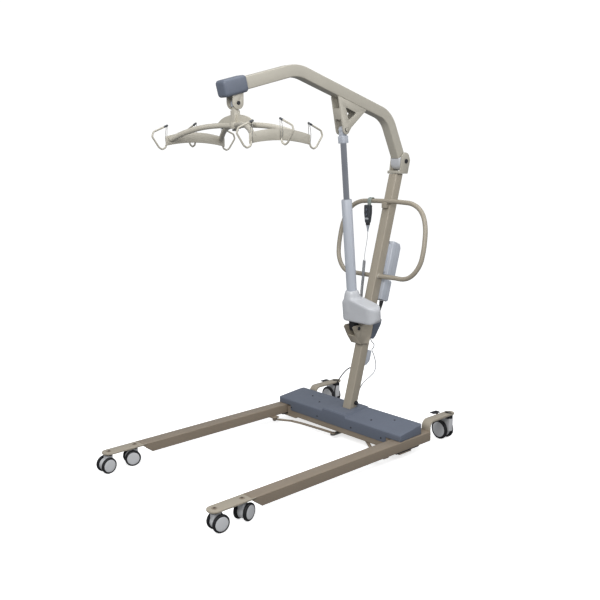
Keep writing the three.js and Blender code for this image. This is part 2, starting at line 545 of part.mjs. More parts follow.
// ------------------------------------------------------------------ handset, hooked over the handle
const HANDSET = { x: -98, bar: [235, 1202], y0: 198, y1: 222, top: 1180, waist: 1084, tip: 1040 };
function makeHandset() {
  const h = HANDSET, [by, bz] = h.bar;
  const arc = (r, from, to) => Array.from({ length: 9 }, (_, i) => {
    const t = rad(from + (to - from) * i / 8);
    return [by + r * Math.cos(t), bz + r * Math.sin(t)];
  });
  const strap = [[by - 17.6, 1172], ...arc(17.6, 180, 0), [by + 17.6, 1188], [by + 14, 1188],
    ...arc(14, 0, 180), [by - 14, 1172]].reverse();
  const face = [[-20, h.top], [-20, 1136], [-11, h.waist], [11, h.waist], [20, 1136], [20, h.top]];
  let body = prism('y', face, h.y0, h.y1).translate([h.x, 0, 0]);
  const tail = turned([[0, h.tip], [4.5, h.tip], [7, 1056], [11, 1078], [11, 1086], [0, 1086]], 16)
    .translate([h.x, 210, 0]);
  body = all(body, tail, prism('x', strap, h.x - 11, h.x + 11));
  for (const z of [1156, 1130]) body = cut(body, rod('y', 6.5, 190, 205, h.x, z, 16));
  add('handset', body, GREY);
  [['up', 1156], ['down', 1130]].forEach(([tag, z]) => {
    add(`handset_button_${tag}`, rod('y', 6, 195.4, 202, h.x, z, 16), SLATE);
  });
}

// ------------------------------------------------------------------ leads
const LEAD = [[-98, 210, 1039.6], [-99, 209, 1010], [-102, 206, 975], [-104, 200, 942], [-101, 190, 907]];
const COIL = [[-100.8, 189.6, 906], [-91, 178, 880], [-77, 159, 851], [-64, 142.4, 824], [-62, 139, 800],
  [-65, 137, 765], [-66, 131, 697], [-65, 128, 668]];
const TAIL = [[-64.9, 127.8, 667], [-62, 131, 640], [-56, 148, 624], [-44, 172, 628], [-32, 187, 655],
  [-28, 191.5, 686]];
const BLACK_CABLE = [[-8, 83.5, 354.5], [-14, 86, 344], [-40, 86, 336], [-88, 76, 322], [-127, 80, 294.6],
  [-162.6, 78, 252.5], [-188, 75.5, 211.6], [-197.6, 72, 175.3], [-197, 71, 148], [-194, 65, 129],
  [-193, 55.2, 127.5]];
const GREY_CABLE = [[18, 117, 491.5], [20, 124, 477], [25, 137, 459], [25, 133, 443], [23, 123, 434],
  [25, 137.5, 401], [25, 153, 349], [25, 143.5, 312], [23, 105.5, 287], [16, 66, 262], [8, 45, 225],
  [2, 35, 182], [0, 33, 153]];

function makeLeads() {
  add('handset_lead', tube(spline(LEAD, 8), 3, 8), BLACK);
  add('handset_coil', tube(spline(COIL, 10), 8, 10), GREY);
  add('handset_tail', tube(spline(TAIL, 10), 3, 8), GREY);
  add('black_cable', tube(spline(BLACK_CABLE, 24), 3, 8), BLACK);
  add('grey_cable', tube(spline(GREY_CABLE, 30), 2.4, 8), GREY);
}

// ------------------------------------------------------------------ hanger and six-point spreader
const SPREADER = { plate: 5, reach: 162, arm: 13 };
function makeSpreader() {
  const y = HANGER.y;
  let stem = all(prism('x', [[-14, 1635], [14, 1635], [14, HANGER.pivotZ], [-14, HANGER.pivotZ]]
    .map(([v, z]) => [v + y, z]), -14, 14), rod('x', 14, -14, 14, y, HANGER.pivotZ, 20),
  rod('z', 8, 1536, 1638, 0, y, 16), rod('z', 14, 1533, 1541, 0, y, 6));
  stem = cut(stem, rod('x', 5.5, -40, 40, y, HANGER.pivotZ, 12));
  add('hanger_stem', stem, PAINT);

  const dome = [[-125, 1557], [125, 1557], ...Array.from({ length: 11 }, (_, i) => {
    const t = rad(12 + 156 * i / 10);
    return [128 * Math.cos(t), 1551 + 51 * Math.sin(t)];
  })];
  // square sleeve, with a round neck where it turns between the clevis ears
  let frame = all(box(-15, 15, y - 15, y + 15, 1546, 1619), rod('z', 15, 1618, 1632, 0, y, 20),
    prism('y', dome, y - 3.5, y + 3.5), rod('z', 24, 1543, 1568, 0, y, 20));
  const plates = {};
  for (const sx of [1, -1]) {
    // curved end plate
    const top = Array.from({ length: 9 }, (_, i) => {
      const u = -1 + i / 4;
      return [y + SPREADER.reach * u, 1535 - 21 * u * u];
    });
    const low = top.map(([v], i) => [v, 1489 - 16 * (-1 + i / 4) ** 2]).reverse();
    const inside = sx > 0 ? 289 : -294;
    plates[sx] = prism('x', [...top, ...low].reverse(), inside, inside + SPREADER.plate);
    for (const sy of [1, -1]) {
      const arm = spline([[0, y + sy * 3, 1556], [sx * 70, y + sy * 30, 1557], [sx * 150, y + sy * 66, 1550],
        [sx * 225, y + sy * 104, 1530], [sx * 287, y + sy * 138, 1502]], 8);
      frame = all(frame, sweep(arm, round(SPREADER.arm, 8)));
    }
  }
  frame = cut(frame, rod('z', 8.6, 1500, 1640, 0, y, 16));
  for (const side of [1, -1]) frame = cut(frame, sideBox(side, 289 - GAP, 330, y - 200, y + 200, 1400, 1600));
  add('spreader_frame', frame, PAINT);

  // hooks: profile of (outward, up) from the plate's lower edge
  const profile = [[-4, 8], [3, -9], [20, -17], [36, -8], [70, 38], [62, 58], [-12, 88]];
  const hook = (ox, oy, oz, dx, dy) => fillet(profile.map(([u, w]) => [ox + dx * u, oy + dy * u, oz + w]),
    [0, 9, 13, 13, 10, 9, 0], false, 46);
  for (const [sx, side] of [[1, 'left'], [-1, 'right']]) {
    const x = sx * 297;
    const routes = [hook(x, y - 158, 1474, 0, -1), hook(x, y + 158, 1474, 0, 1),
      hook(sx * 299, y, 1488, sx, 0)];
    add(`spreader_bar_${side}`, all(plates[sx], ...routes.map((route) => tube(route, 4, 6))), PAINT);
  }
}

makeBase();
makeLegs();
makeCasters();
makeCover();
makeMast();
makeBoom();
makeActuator();
makeHandle();
makeElectrics();
makeHandset();
makeLeads();
makeSpreader();

export default hoist;
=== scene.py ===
# Looks of the mobile patient lift hoist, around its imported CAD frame.
# Places are in the CAD source's working millimetres: X = 0 on the middle plane, Y = 0 behind the mast's
# foot, Z = 0 on the floor. TO_FRAME turns them into the frame's metres.
import math

import bmesh
import bpy
from mathutils import Matrix, Vector


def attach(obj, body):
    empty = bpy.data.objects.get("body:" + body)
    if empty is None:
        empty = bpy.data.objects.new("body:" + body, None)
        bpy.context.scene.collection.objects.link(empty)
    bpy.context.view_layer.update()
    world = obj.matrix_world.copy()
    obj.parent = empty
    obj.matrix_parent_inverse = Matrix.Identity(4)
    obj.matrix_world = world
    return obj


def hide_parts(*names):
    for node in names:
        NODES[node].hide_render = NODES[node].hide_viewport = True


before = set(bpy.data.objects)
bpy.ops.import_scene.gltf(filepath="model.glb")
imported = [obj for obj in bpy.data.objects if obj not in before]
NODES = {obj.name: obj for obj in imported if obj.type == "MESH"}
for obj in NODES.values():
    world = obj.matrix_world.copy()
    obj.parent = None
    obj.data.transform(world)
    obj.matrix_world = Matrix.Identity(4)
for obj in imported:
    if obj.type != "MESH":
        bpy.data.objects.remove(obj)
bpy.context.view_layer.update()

TO_FRAME = Matrix.Scale(0.001, 4) @ Matrix.Translation((37, 427.9, 0))


def linked(name, data):
    """A new object in the scene."""
    made = bpy.data.objects.new(name, data)
    bpy.context.scene.collection.objects.link(made)
    return made


# ------------------------------------------------------------------ camera
CAMERA_AROUND, CAMERA_DOWN = 47.25, 10.17  # degrees round to the left front, and looking down
CAMERA_PLACE = (2.7125, -2.4144, 1.4082)
CAMERA_LENS, CAMERA_SENSOR = 46.57, 36


def make_camera():
    """The photograph's viewpoint."""
    around, down = math.radians(CAMERA_AROUND), math.radians(CAMERA_DOWN)
    back = Vector((math.sin(around) * math.cos(down), -math.cos(around) * math.cos(down),
                   math.sin(down)))
    data = bpy.data.cameras.new("camera")
    data.lens = CAMERA_LENS
    data.sensor_width = CAMERA_SENSOR
    camera = linked("camera", data)
    camera.location = CAMERA_PLACE
    camera.rotation_mode = "QUATERNION"
    camera.rotation_quaternion = (-back).to_track_quat("-Z", "Y")
    bpy.context.scene.camera = camera


# ------------------------------------------------------------------ materials
def rgb(red, green, blue):
    """A colour from 0..255 values as shown on a screen, as the shader's linear one."""
    def linear(value):
        c = value / 255
        return c / 12.92 if c <= 0.04045 else ((c + 0.055) / 1.055) ** 2.4
    return (linear(red), linear(green), linear(blue), 1)


class Look:
    """A procedural material being wired up around one Principled shader."""

    def __init__(self, name, rough, metal=0.0, coat=0.0, coat_rough=0.1, specular=0.5):
        self.material = bpy.data.materials.new(name)
        self.material.use_nodes = True
        self.tree = self.material.node_tree
        self.shader = self.tree.nodes["Principled BSDF"]
        self.shader.inputs["Roughness"].default_value = rough
        self.shader.inputs["Metallic"].default_value = metal
        self.shader.inputs["Coat Weight"].default_value = coat
        self.shader.inputs["Coat Roughness"].default_value = coat_rough
        self.shader.inputs["Specular IOR Level"].default_value = specular
        self.place = self.tree.nodes.new("ShaderNodeTexCoord").outputs["Object"]
        self.height = None

    def noise(self, scale, detail=3.0, stretch=None):
        """Noise over the piece; scale is cycles per metre, stretch scales the three axes."""
        place = self.place
        if stretch:
            mapping = self.tree.nodes.new("ShaderNodeMapping")
            mapping.inputs["Scale"].default_value = stretch
            self.tree.links.new(place, mapping.inputs["Vector"])
            place = mapping.outputs["Vector"]
        node = self.tree.nodes.new("ShaderNodeTexNoise")
        node.inputs["Scale"].default_value = scale
        node.inputs["Detail"].default_value = detail
        self.tree.links.new(place, node.inputs["Vector"])
        return node.outputs["Fac"]

    def ramp(self, value, stops):
        """Colours at places along 0..1."""
        node = self.tree.nodes.new("ShaderNodeValToRGB")
        elements = node.color_ramp.elements
        while len(elements) < len(stops):
            elements.new(0.5)
        for element, (at, colour) in zip(elements, stops):
            element.position = at
            element.color = colour
        self.tree.links.new(value, node.inputs["Fac"])
        return node.outputs["Color"]

    def mix(self, share, a, b, kind="MIX"):
        node = self.tree.nodes.new("ShaderNodeMix")
        node.data_type = "RGBA"
        node.blend_type = kind
        for socket, value in ((node.inputs[0], share), (node.inputs[6], a), (node.inputs[7], b)):
            if isinstance(value, bpy.types.NodeSocket):
                self.tree.links.new(value, socket)
            else:
                socket.default_value = value
        return node.outputs[2]

    def colour(self, value):
        self.tree.links.new(value, self.shader.inputs["Base Color"])

    def roughness(self, value, low, high):
        node = self.tree.nodes.new("ShaderNodeMapRange")
        node.inputs["To Min"].default_value = low
        node.inputs["To Max"].default_value = high
        self.tree.links.new(value, node.inputs["Value"])
        self.tree.links.new(node.outputs["Result"], self.shader.inputs["Roughness"])

    def bump(self, value, strength, distance):
        node = self.tree.nodes.new("ShaderNodeBump")
        node.inputs["Strength"].default_value = strength
        node.inputs["Distance"].default_value = distance
        self.tree.links.new(value, node.inputs["Height"])
        if self.height:
            self.tree.links.new(self.height, node.inputs["Normal"])
        self.height = node.outputs["Normal"]
        self.tree.links.new(self.height, self.shader.inputs["Normal"])


def shade(colour, factor):
    return tuple(c * factor for c in colour[:3]) + (1,)


def toned(look, base, vary, speck, speck_scale):
    """Base colour with a slow drift in tone and fine specks."""
    drift = look.ramp(look.noise(7), [(0.3, shade(base, 1 - vary)), (0.7, shade(base, 1 + vary))])
    fine = look.ramp(look.noise(speck_scale, 2), [(0.35, (1 - speck,) * 3 + (1,)), (0.65, (1, 1, 1, 1))])
    look.colour(look.mix(1.0, drift, fine, "MULTIPLY"))


def painted(name, base, rough=0.42):
    """Powder coat: fine orange peel, slight drift, rubbed and dustier patches."""
    look = Look(name, rough, coat=0.12, coat_rough=0.25)
    toned(look, base, 0.03, 0.02, 500)
    look.roughness(look.noise(18, 5), rough - 0.07, rough + 0.1)
    look.bump(look.noise(420, 2), 0.05, 0.0002)
    look.bump(look.noise(60, 2), 0.04, 0.0006)
    return look.material


def moulded(name, base, rough, grain=1400, depth=0.12, vary=0.03, coat=0.0):
    """Moulded plastic: spark-eroded grain, faint flow lines and handling marks."""
    look = Look(name, rough, coat=coat, coat_rough=0.2)
    toned(look, base, vary, 0.04, grain)
    look.roughness(look.noise(30, 4), rough - 0.06, rough + 0.08)
    look.bump(look.noise(grain, 2), depth, 0.0003)
    return look.material


def rubber(name, base):
    """Tyre rubber: dull, dusty in patches, with fine running marks."""
    look = Look(name, 0.6, specular=0.35)
    dust = look.ramp(look.noise(45, 5), [(0.45, base), (0.75, shade(base, 2.4))])
    look.colour(look.mix(0.35, base, dust))
    look.roughness(look.noise(120, 4), 0.5, 0.8)
    look.bump(look.noise(900, 3), 0.25, 0.0003)
    return look.material


def polished(name):
    """Hard chrome with faint grinding marks round the rod."""
    look = Look(name, 0.08, metal=1.0)
    look.colour(look.ramp(look.noise(5, 2), [(0.3, rgb(208, 212, 222)), (0.7, rgb(228, 231, 238))]))
    marks = look.noise(90, 4, (1, 1, 30))
    look.roughness(marks, 0.05, 0.15)
    look.bump(marks, 0.02, 0.0001)
    return look.material


def plated(name):
    """Zinc plating: greyish metal with a mottled sheen."""
    look = Look(name, 0.35, metal=0.95)
    look.colour(look.ramp(look.noise(160, 5), [(0.3, rgb(128, 128, 126)), (0.7, rgb(168, 167, 162))]))
    look.roughness(look.noise(220, 4), 0.28, 0.48)
    look.bump(look.noise(500, 3), 0.08, 0.0002)
    return look.material


def jacketed(name, base, rough=0.5):
    """Soft cable jacket with a slight matt bloom."""
    look = Look(name, rough, specular=0.4)
    look.colour(look.ramp(look.noise(150, 4), [(0.35, shade(base, 0.85)), (0.7, shade(base, 1.15))]))
    look.bump(look.noise(1500, 2), 0.1, 0.0002)
    return look.material


def make_looks():
    return {
        "paint": painted("paint", rgb(184, 179, 166)),
        # The same paint again, darkened as painted shade: a little on the mast, the handle and parts
        # near them, more on the base beam and legs, where less light falls.
        "paint_shaded_mid": painted("paint_shaded_mid", rgb(168, 159, 143)),
        "paint_shaded_low": painted("paint_shaded_low", rgb(142, 129, 113)),
        "shade_paint": painted("shade_paint", rgb(88, 78, 66), 0.6),
        "slate": moulded("slate", rgb(104, 111, 125), 0.48, 1100, 0.15),
        "pale": moulded("pale", rgb(190, 195, 204), 0.36, coat=0.1),
        "white": moulded("white", rgb(204, 206, 210), 0.34, coat=0.15),
        "black": moulded("black", rgb(34, 34, 38), 0.5),
        # Near black, used as painted shade inside the open front ends of the legs.
        "dark": moulded("dark", rgb(18, 18, 20), 0.8, vary=0.01),
        "grey": moulded("grey", rgb(165, 167, 172), 0.42),
        "hub": moulded("hub", rgb(208, 209, 211), 0.35, coat=0.1),
        "handset": moulded("handset", rgb(72, 75, 80), 0.45),
        "strap": moulded("strap", rgb(158, 168, 162), 0.45),
        "label": moulded("label", rgb(196, 200, 204), 0.3, depth=0.03),
        "tyre": rubber("tyre", rgb(30, 30, 33)),
        "chrome": polished("chrome"),
        "steel": plated("steel"),
        "black_cable": jacketed("black_cable", rgb(30, 30, 32)),
        "grey_cable": jacketed("grey_cable", rgb(172, 174, 178)),
    }


# ------------------------------------------------------------------ shapes, in working millimetres
def ease_edges(bm, width, steps=2, sharp=28):
    """Rounds every edge that turns more than sharp degrees."""
    if width:
        edges = [e for e in bm.edges
                 if len(e.link_faces) == 2 and e.calc_face_angle(0) > math.radians(sharp)]
        bmesh.ops.bevel(bm, geom=edges, offset=width, offset_type="OFFSET", segments=steps, profile=0.5,
                        affect="EDGES", clamp_overlap=True)
    return bm


def prism(axis, outline, a, b, ease=0.0, steps=2):
    """An outline extruded along an axis: (y, z) along x, (x, z) along y, (x, y) along z."""
    def at(u, v, w):
        return {"x": (w, u, v), "y": (u, w, v), "z": (u, v, w)}[axis]
    bm = bmesh.new()
    ends = [[bm.verts.new(at(u, v, w)) for u, v in outline] for w in (a, b)]
    bm.faces.new(ends[0])
    bm.faces.new(ends[1])
    for i in range(len(outline)):
        j = (i + 1) % len(outline)
        bm.faces.new((ends[0][i], ends[0][j], ends[1][j], ends[1][i]))
    bmesh.ops.recalc_face_normals(bm, faces=bm.faces)
    return ease_edges(bm, ease, steps)


def block(x0, x1, y0, y1, z0, z1, ease=1.0, steps=2):
    return prism("z", [(x0, y0), (x1, y0), (x1, y1), (x0, y1)], z0, z1, ease, steps)


def skin(bm, rings):
    """Faces between rings of vertices, closed at both ends."""
    for low, high in zip(rings, rings[1:]):
        for k in range(len(low)):
            m = (k + 1) % len(low)
            bm.faces.new((low[k], low[m], high[m], high[k]))
    bm.faces.new(rings[0])
    bm.faces.new(rings[-1])
    bmesh.ops.recalc_face_normals(bm, faces=bm.faces)
    return bm


def rounded_bar(width, height, y0, y1, corner, end):
    """A bar along Y with rounded long edges and domed ends."""
    turns = [math.radians(15 * k) for k in range(7)]
    stations = [(y0 + end * (1 - math.cos(t)), end * (1 - math.sin(t))) for t in turns]
    stations += [(y1 + y0 - y, inset) for y, inset in reversed(stations)]
    bm = bmesh.new()
    rings = []
    for y, inset in stations:
        section = tube_section(width - 2 * inset, height - 2 * inset, max(corner - 0.6 * inset, 2))
        rings.append([bm.verts.new((u, y, v)) for u, v in section])
    return skin(bm, rings)


def turned(profile, segments=40, origin=(0, 0, 0), axis=(0, 0, 1)):
    """A turned body: (radius, height) pairs about an axis through an origin."""
    bm = bmesh.new()
    rings = []
    for radius, height in profile:
        if radius < 1e-6:
            rings.append([bm.verts.new((0, 0, height))])
            continue
        turns = [2 * math.pi * k / segments for k in range(segments)]
        rings.append([bm.verts.new((radius * math.cos(t), radius * math.sin(t), height)) for t in turns])
    for low, high in zip(rings, rings[1:]):
        for k in range(segments):
            m = (k + 1) % segments
            corners = [low[k % len(low)], low[m % len(low)], high[m % len(high)], high[k % len(high)]]
            corners = [v for i, v in enumerate(corners) if v not in corners[:i]]
            if len(corners) > 2:
                bm.faces.new(corners)
    bmesh.ops.recalc_face_normals(bm, faces=bm.faces)
    aim = Vector(axis).normalized().to_track_quat("Z", "Y").to_matrix().to_4x4()
    bm.transform(Matrix.Translation(origin) @ aim)
    return bm


def pin(a, b, radius, ease=0.6, segments=32):
    """A round bar from point a to point b with eased ends."""
    a, b = Vector(a), Vector(b)
    long = (b - a).length
    profile = [(0, 0), (radius - ease, 0), (radius, ease), (radius, long - ease),
               (radius - ease, long), (0, long)]
    return turned(profile, segments, a, b - a)


def heads(profile, segments, origin, look):
    """The same turned head, facing outward, on both sides of the middle plane."""
    return [(turned(profile, segments, origin, (side, 0, 0)), look) for side in (1, -1)]


def screw(place, axis, radius, height):
    """A socket head with a domed rim."""
    profile = [(0, height * 0.45), (radius * 0.45, height * 0.45), (radius * 0.5, height),
               (radius * 0.78, height * 0.9), (radius, height * 0.35), (radius, 0), (0, 0)]
    return turned(profile, 24, place, axis)


def fillet(points, radii, closed=False, step=6):
    """Corners of an outline or route replaced with arcs; radii is one number or one per corner."""
    out = []
    count = len(points)
    for i, p in enumerate(points):
        radius = radii[i] if isinstance(radii, (list, tuple)) else radii
        if not radius or (not closed and i in (0, count - 1)):
            out.append(tuple(p))
            continue
        corner = Vector(p).to_3d()
        u = (Vector(points[i - 1]).to_3d() - corner).normalized()
        w = (Vector(points[(i + 1) % count]).to_3d() - corner).normalized()
        half = u.angle(w) / 2
        turn = math.pi - 2 * half
        reach = radius / math.tan(half)
        centre = corner + (u + w).normalized() * (radius / math.sin(half))
        start, end = corner + u * reach - centre, corner + w * reach - centre
        steps = max(2, math.ceil(turn / math.radians(step)))
        for k in range(steps + 1):
            t = k / steps
            q = (start * (math.sin((1 - t) * turn) / math.sin(turn))
                 + end * (math.sin(t * turn) / math.sin(turn)))
            out.append(tuple(q + centre)[:len(p)])
    return out


def round_section(radius, sides=20):
    return [(radius * math.cos(2 * math.pi * k / sides), radius * math.sin(2 * math.pi * k / sides))
            for k in range(sides)]


def tube_section(width, height, corner=5.0):
    w, h = width / 2, height / 2
    return fillet([(-w, -h), (w, -h), (w, h), (-w, h)], corner, True, 22.5)


def sweep(route, section, side=None):
    """A section carried along a route; side is the direction that the section's first axis keeps."""
    points = [Vector(p) for p in route]
    bm = bmesh.new()
    rings = []
    across = Vector(side) if side else None
    for i, p in enumerate(points):
        before = (p - points[i - 1]).normalized() if i else None
        after = (points[i + 1] - p).normalized() if i + 1 < len(points) else None
        ahead = ((before or after) + (after or before)).normalized()
        if across is None:
            across = ahead.orthogonal()
        across = (across - ahead * across.dot(ahead)).normalized()
        up = ahead.cross(across)
        rings.append([bm.verts.new(p + across * u + up * v) for u, v in section])
    return skin(bm, rings)


SPLINE_STEPS = 24  # fine points in each span, before they are spaced evenly


def curve(points, steps):
    """Evenly spaced points on a centripetal Catmull-Rom spline through the points."""
    p = [Vector(q) for q in points]
    p = [p[0] * 2 - p[1], *p, p[-1] * 2 - p[-2]]
    fine = []
    for a, b, c, d in zip(p, p[1:], p[2:], p[3:]):
        gaps = [(b - a).length ** 0.5, (c - b).length ** 0.5, (d - c).length ** 0.5]
        out = ((b - a) / gaps[0] - (c - a) / (gaps[0] + gaps[1]) + (c - b) / gaps[1]) * gaps[1]
        back = ((c - b) / gaps[1] - (d - b) / (gaps[1] + gaps[2]) + (d - c) / gaps[2]) * gaps[1]
        for k in range(SPLINE_STEPS):
            t = k / SPLINE_STEPS
            fine.append(b + out * t + (3 * (c - b) - 2 * out - back) * t * t
                        + (2 * (b - c) + out + back) * t ** 3)
    fine.append(p[-2])
    long = [0.0]
    for a, b in zip(fine, fine[1:]):
        long.append(long[-1] + (b - a).length)
    spaced, i = [], 0
    for k in range(steps + 1):
        at = long[-1] * k / steps
        while i < len(fine) - 2 and long[i + 1] < at:
            i += 1
        share = (at - long[i]) / (long[i + 1] - long[i])
        spaced.append(fine[i].lerp(fine[i + 1], min(1, share)))
    return spaced


def cut(bm, *tools):
    """bm less the tools, by Blender's own boolean."""
    base = linked("base", bpy.data.meshes.new("base"))
    bm.to_mesh(base.data)
    bm.free()
    for tool in tools:
        other = linked("tool", bpy.data.meshes.new("tool"))
        tool.to_mesh(other.data)
        tool.free()
        modifier = base.modifiers.new("cut", "BOOLEAN")
        modifier.operation = "DIFFERENCE"
        modifier.solver = "EXACT"
        modifier.object = other
    left = bmesh.new()
    made = base.evaluated_get(bpy.context.evaluated_depsgraph_get()).to_mesh()
    left.from_mesh(made)
    for o in [m.object for m in base.modifiers] + [base]:
        bpy.data.objects.remove(o)
    bmesh.ops.dissolve_limit(left, angle_limit=math.radians(0.5), verts=left.verts, edges=left.edges)
    return left


def cad(node, ease=0.0, steps=2, sharp=28):
    """A CAD node's own shape in working millimetres, with its edges eased."""
    bm = bmesh.new()
    bm.from_mesh(NODES[node].data)
    bm.transform(TO_FRAME.inverted())
    bmesh.ops.remove_doubles(bm, verts=bm.verts, dist=0.02)
    bmesh.ops.dissolve_limit(bm, angle_limit=math.radians(0.7), verts=bm.verts, edges=bm.edges)
    return ease_edges(bm, ease, steps, sharp)


def softened(parts, voxel, turns, share):
    """Closed shapes merged, and smoothed until their corners and joins are soft."""
    mesh = bpy.data.meshes.new("soft")
    whole = bmesh.new()
    for bm in parts:
        bm.to_mesh(mesh)
        bm.free()
        whole.from_mesh(mesh)
    whole.to_mesh(mesh)
    whole.free()
    base = linked("soft", mesh)
    remesh = base.modifiers.new("remesh", "REMESH")
    remesh.mode = "VOXEL"
    remesh.voxel_size = voxel
    smooth = base.modifiers.new("smooth", "SMOOTH")
    smooth.factor = 0.5
    smooth.iterations = turns
    fewer = base.modifiers.new("fewer", "DECIMATE")
    fewer.ratio = share
    soft = bmesh.new()
    soft.from_object(base, bpy.context.evaluated_depsgraph_get())
    bpy.data.objects.remove(base)
    return soft


def moved(bm, matrix):
    bm.transform(matrix)
    return bm


def piece(name, body, parts, replaces=(), place=None, angle=35):
    """One object from (shape, look) parts, riding a body; parts stand in place's own frame if given."""
    mesh = bpy.data.meshes.new(name)
    whole = bmesh.new()
    looks = []
    for bm, look in parts:
        if look not in looks:
            looks.append(look)
        for face in bm.faces:
            face.material_index = looks.index(look)
        bm.to_mesh(mesh)
        bm.free()
        whole.from_mesh(mesh)
    whole.transform(TO_FRAME @ (place or Matrix()))
    whole.to_mesh(mesh)
    whole.free()
    mesh.polygons.foreach_set("use_smooth", [True] * len(mesh.polygons))
    mesh.set_sharp_from_angle(angle=math.radians(angle))
    for look in looks:
        mesh.materials.append(LOOKS[look])
    made = linked(name, mesh)
    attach(made, body)
    if replaces:
        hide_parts(*replaces)
    return made


# ------------------------------------------------------------------ frames of the leaning parts
MAST_LEAN = math.radians(15.5)
MAST_FOOT = (0, -10.95, 171.05)
ON_MAST = Matrix.Translation(MAST_FOOT) @ Matrix.Rotation(-MAST_LEAN, 4, "X")
LIFT_FOOT = Vector((0, 8, 565))
LIFT_TOP = Vector((0, -89, 1555))
LIFT_LONG = (LIFT_TOP - LIFT_FOOT).length
ON_LIFT = (Matrix.Translation(LIFT_FOOT)
           @ Matrix.Rotation(math.atan2(LIFT_FOOT.y - LIFT_TOP.y, LIFT_TOP.z - LIFT_FOOT.z), 4, "X"))
LEG_X, LEG_HALF = 404, 32
HANGER_Y = -744
HANGER_Z = 1649
YOKE_PIN = (346, 1406)


# ------------------------------------------------------------------ cords
LEAD = [(-98, 210, 1039.6), (-99, 209, 1010), (-102, 206, 975), (-104, 200, 942), (-101, 190, 907)]
COIL = [(-100.8, 189.6, 906), (-91, 178, 880), (-77, 159, 851), (-64, 142.4, 824), (-62, 139, 800),
        (-65, 137, 765), (-66, 131, 697), (-65, 128, 668)]
TAIL = [(-64.9, 127.8, 667), (-62, 131, 640), (-56, 148, 624), (-44, 172, 628), (-32, 187, 655),
        (-28, 191.5, 686)]
BLACK_CABLE = [(-8, 83.5, 354.5), (-14, 86, 344), (-40, 86, 336), (-88, 76, 322), (-127, 80, 294.6),
               (-162.6, 78, 252.5), (-188, 75.5, 211.6), (-197.6, 72, 175.3), (-197, 71, 148),
               (-194, 65, 129), (-193, 55.2, 127.5)]
GREY_CABLE = [(18, 117, 491.5), (20, 124, 477), (25, 137, 459), (25, 133, 443), (23, 123, 434),
              (25, 137.5, 401), (25, 153, 349), (25, 143.5, 312), (23, 105.5, 287), (16, 66, 262),
              (8, 45, 225), (2, 35, 182), (0, 33, 153)]
COIL_RADIUS, COIL_WIRE, COIL_PITCH = 6.5, 3.0, 3.4
COIL_EASE, COIL_DELAY = 26, 6  # length over which an end opens out, and how late it starts to turn
COIL_AXIS_POINTS, COIL_POINTS = 300, 1100
BLACK_WIRE, GREY_WIRE = 6, 4.8


def coiled(route):
    """A helix round a route, opening out slowly from the straight wire so that nothing kinks."""
    line = curve(route, COIL_AXIS_POINTS)
    long = sum((b - a).length for a, b in zip(line, line[1:]))
    steps = COIL_POINTS
    across = Vector((1, 0, 0))
    turn = 0.0
    points = []
    for k in range(steps + 1):
        at = k / steps * (len(line) - 1)
        i = min(int(at), len(line) - 2)
        ahead = (line[i + 1] - line[i]).normalized()
        across = (across - ahead * across.dot(ahead)).normalized()
        up = ahead.cross(across)
        share = min(1, min(k, steps - k) / steps * long / COIL_EASE)
        full = share * share * (3 - 2 * share)
        points.append(line[i].lerp(line[i + 1], at - i)
                      + (across * math.cos(turn) + up * math.sin(turn)) * COIL_RADIUS * full)
        turn += 2 * math.pi / COIL_PITCH * long / steps * full ** COIL_DELAY
    return points


def make_cord(name, points, diameter, look, replaces):
    """One round cord along working points, riding the base; its diameter is in millimetres."""
    data = bpy.data.curves.new(name, "CURVE")
    data.dimensions = "3D"
    data.bevel_depth = diameter / 2000
    data.bevel_resolution = 3
    data.use_fill_caps = True
    spline = data.splines.new("POLY")
    spline.points.add(len(points) - 1)
    places = [TO_FRAME @ Vector(p) for p in points]
    for point, place in zip(spline.points, places):
        point.co = (*place, 1)
    spline.use_smooth = True
    data.materials.append(LOOKS[look])
    cord = linked(name, data)
    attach(cord, "base")
    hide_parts(*replaces)


def make_cords():
    lead = curve(LEAD, 24)[:-1] + coiled(COIL) + curve(TAIL, 24)[1:]
    make_cord("handset_cord", lead, COIL_WIRE, "grey_cable",
              ("handset_lead", "handset_coil", "handset_tail"))
    make_cord("base_cable", curve(BLACK_CABLE, 60), BLACK_WIRE, "black_cable", ("black_cable",))
    make_cord("drive_cable", curve(GREY_CABLE, 70), GREY_WIRE, "grey_cable", ("grey_cable",))


LOOKS = make_looks()
make_camera()
make_cords()


# ------------------------------------------------------------------ base
def make_base():
    # The beam and the tie bars below take the paint darkened as painted shade.
    beam = [(cad("base_beam", 1.5), "paint_shaded_low")]
    piece("beam", "base", beam, ["base_beam"])
    NODES["leg_drive"].data.materials[0] = LOOKS["black"]
    for side, tag in ((1, "left"), (-1, "right")):
        x = side * LEG_X
        bolt = [(pin((x, -80, 27), (x, -80, 111), 8), "steel"),
                (turned([(0, 26), (14, 26), (14, 32), (13, 33.2), (0, 33.2)], 32, (x, -80, 0)), "steel"),
                (turned([(0, 104.3), (12.5, 104.3), (13, 105), (13, 110), (12, 111), (0, 111)], 6,
                        (x, -80, 0)), "steel")]
        piece(f"leg_bolt_{tag}", "base", bolt, [f"pivot_bolt_{tag}"], angle=25)
        tie = [(cad(f"tie_bar_{tag}", 1.0), "paint_shaded_low")]
        piece(f"tie_{tag}", f"tie_{tag}", tie, [f"tie_bar_{tag}"])
    piece("crank_plate", "crank", [(cad("leg_crank", 0.6), "steel")], ["leg_crank"])


COVER_RISE, COVER_RUN = 18.5, 170  # the cover's top climbs by this over this
COVER_FRONT = (-120, 128)


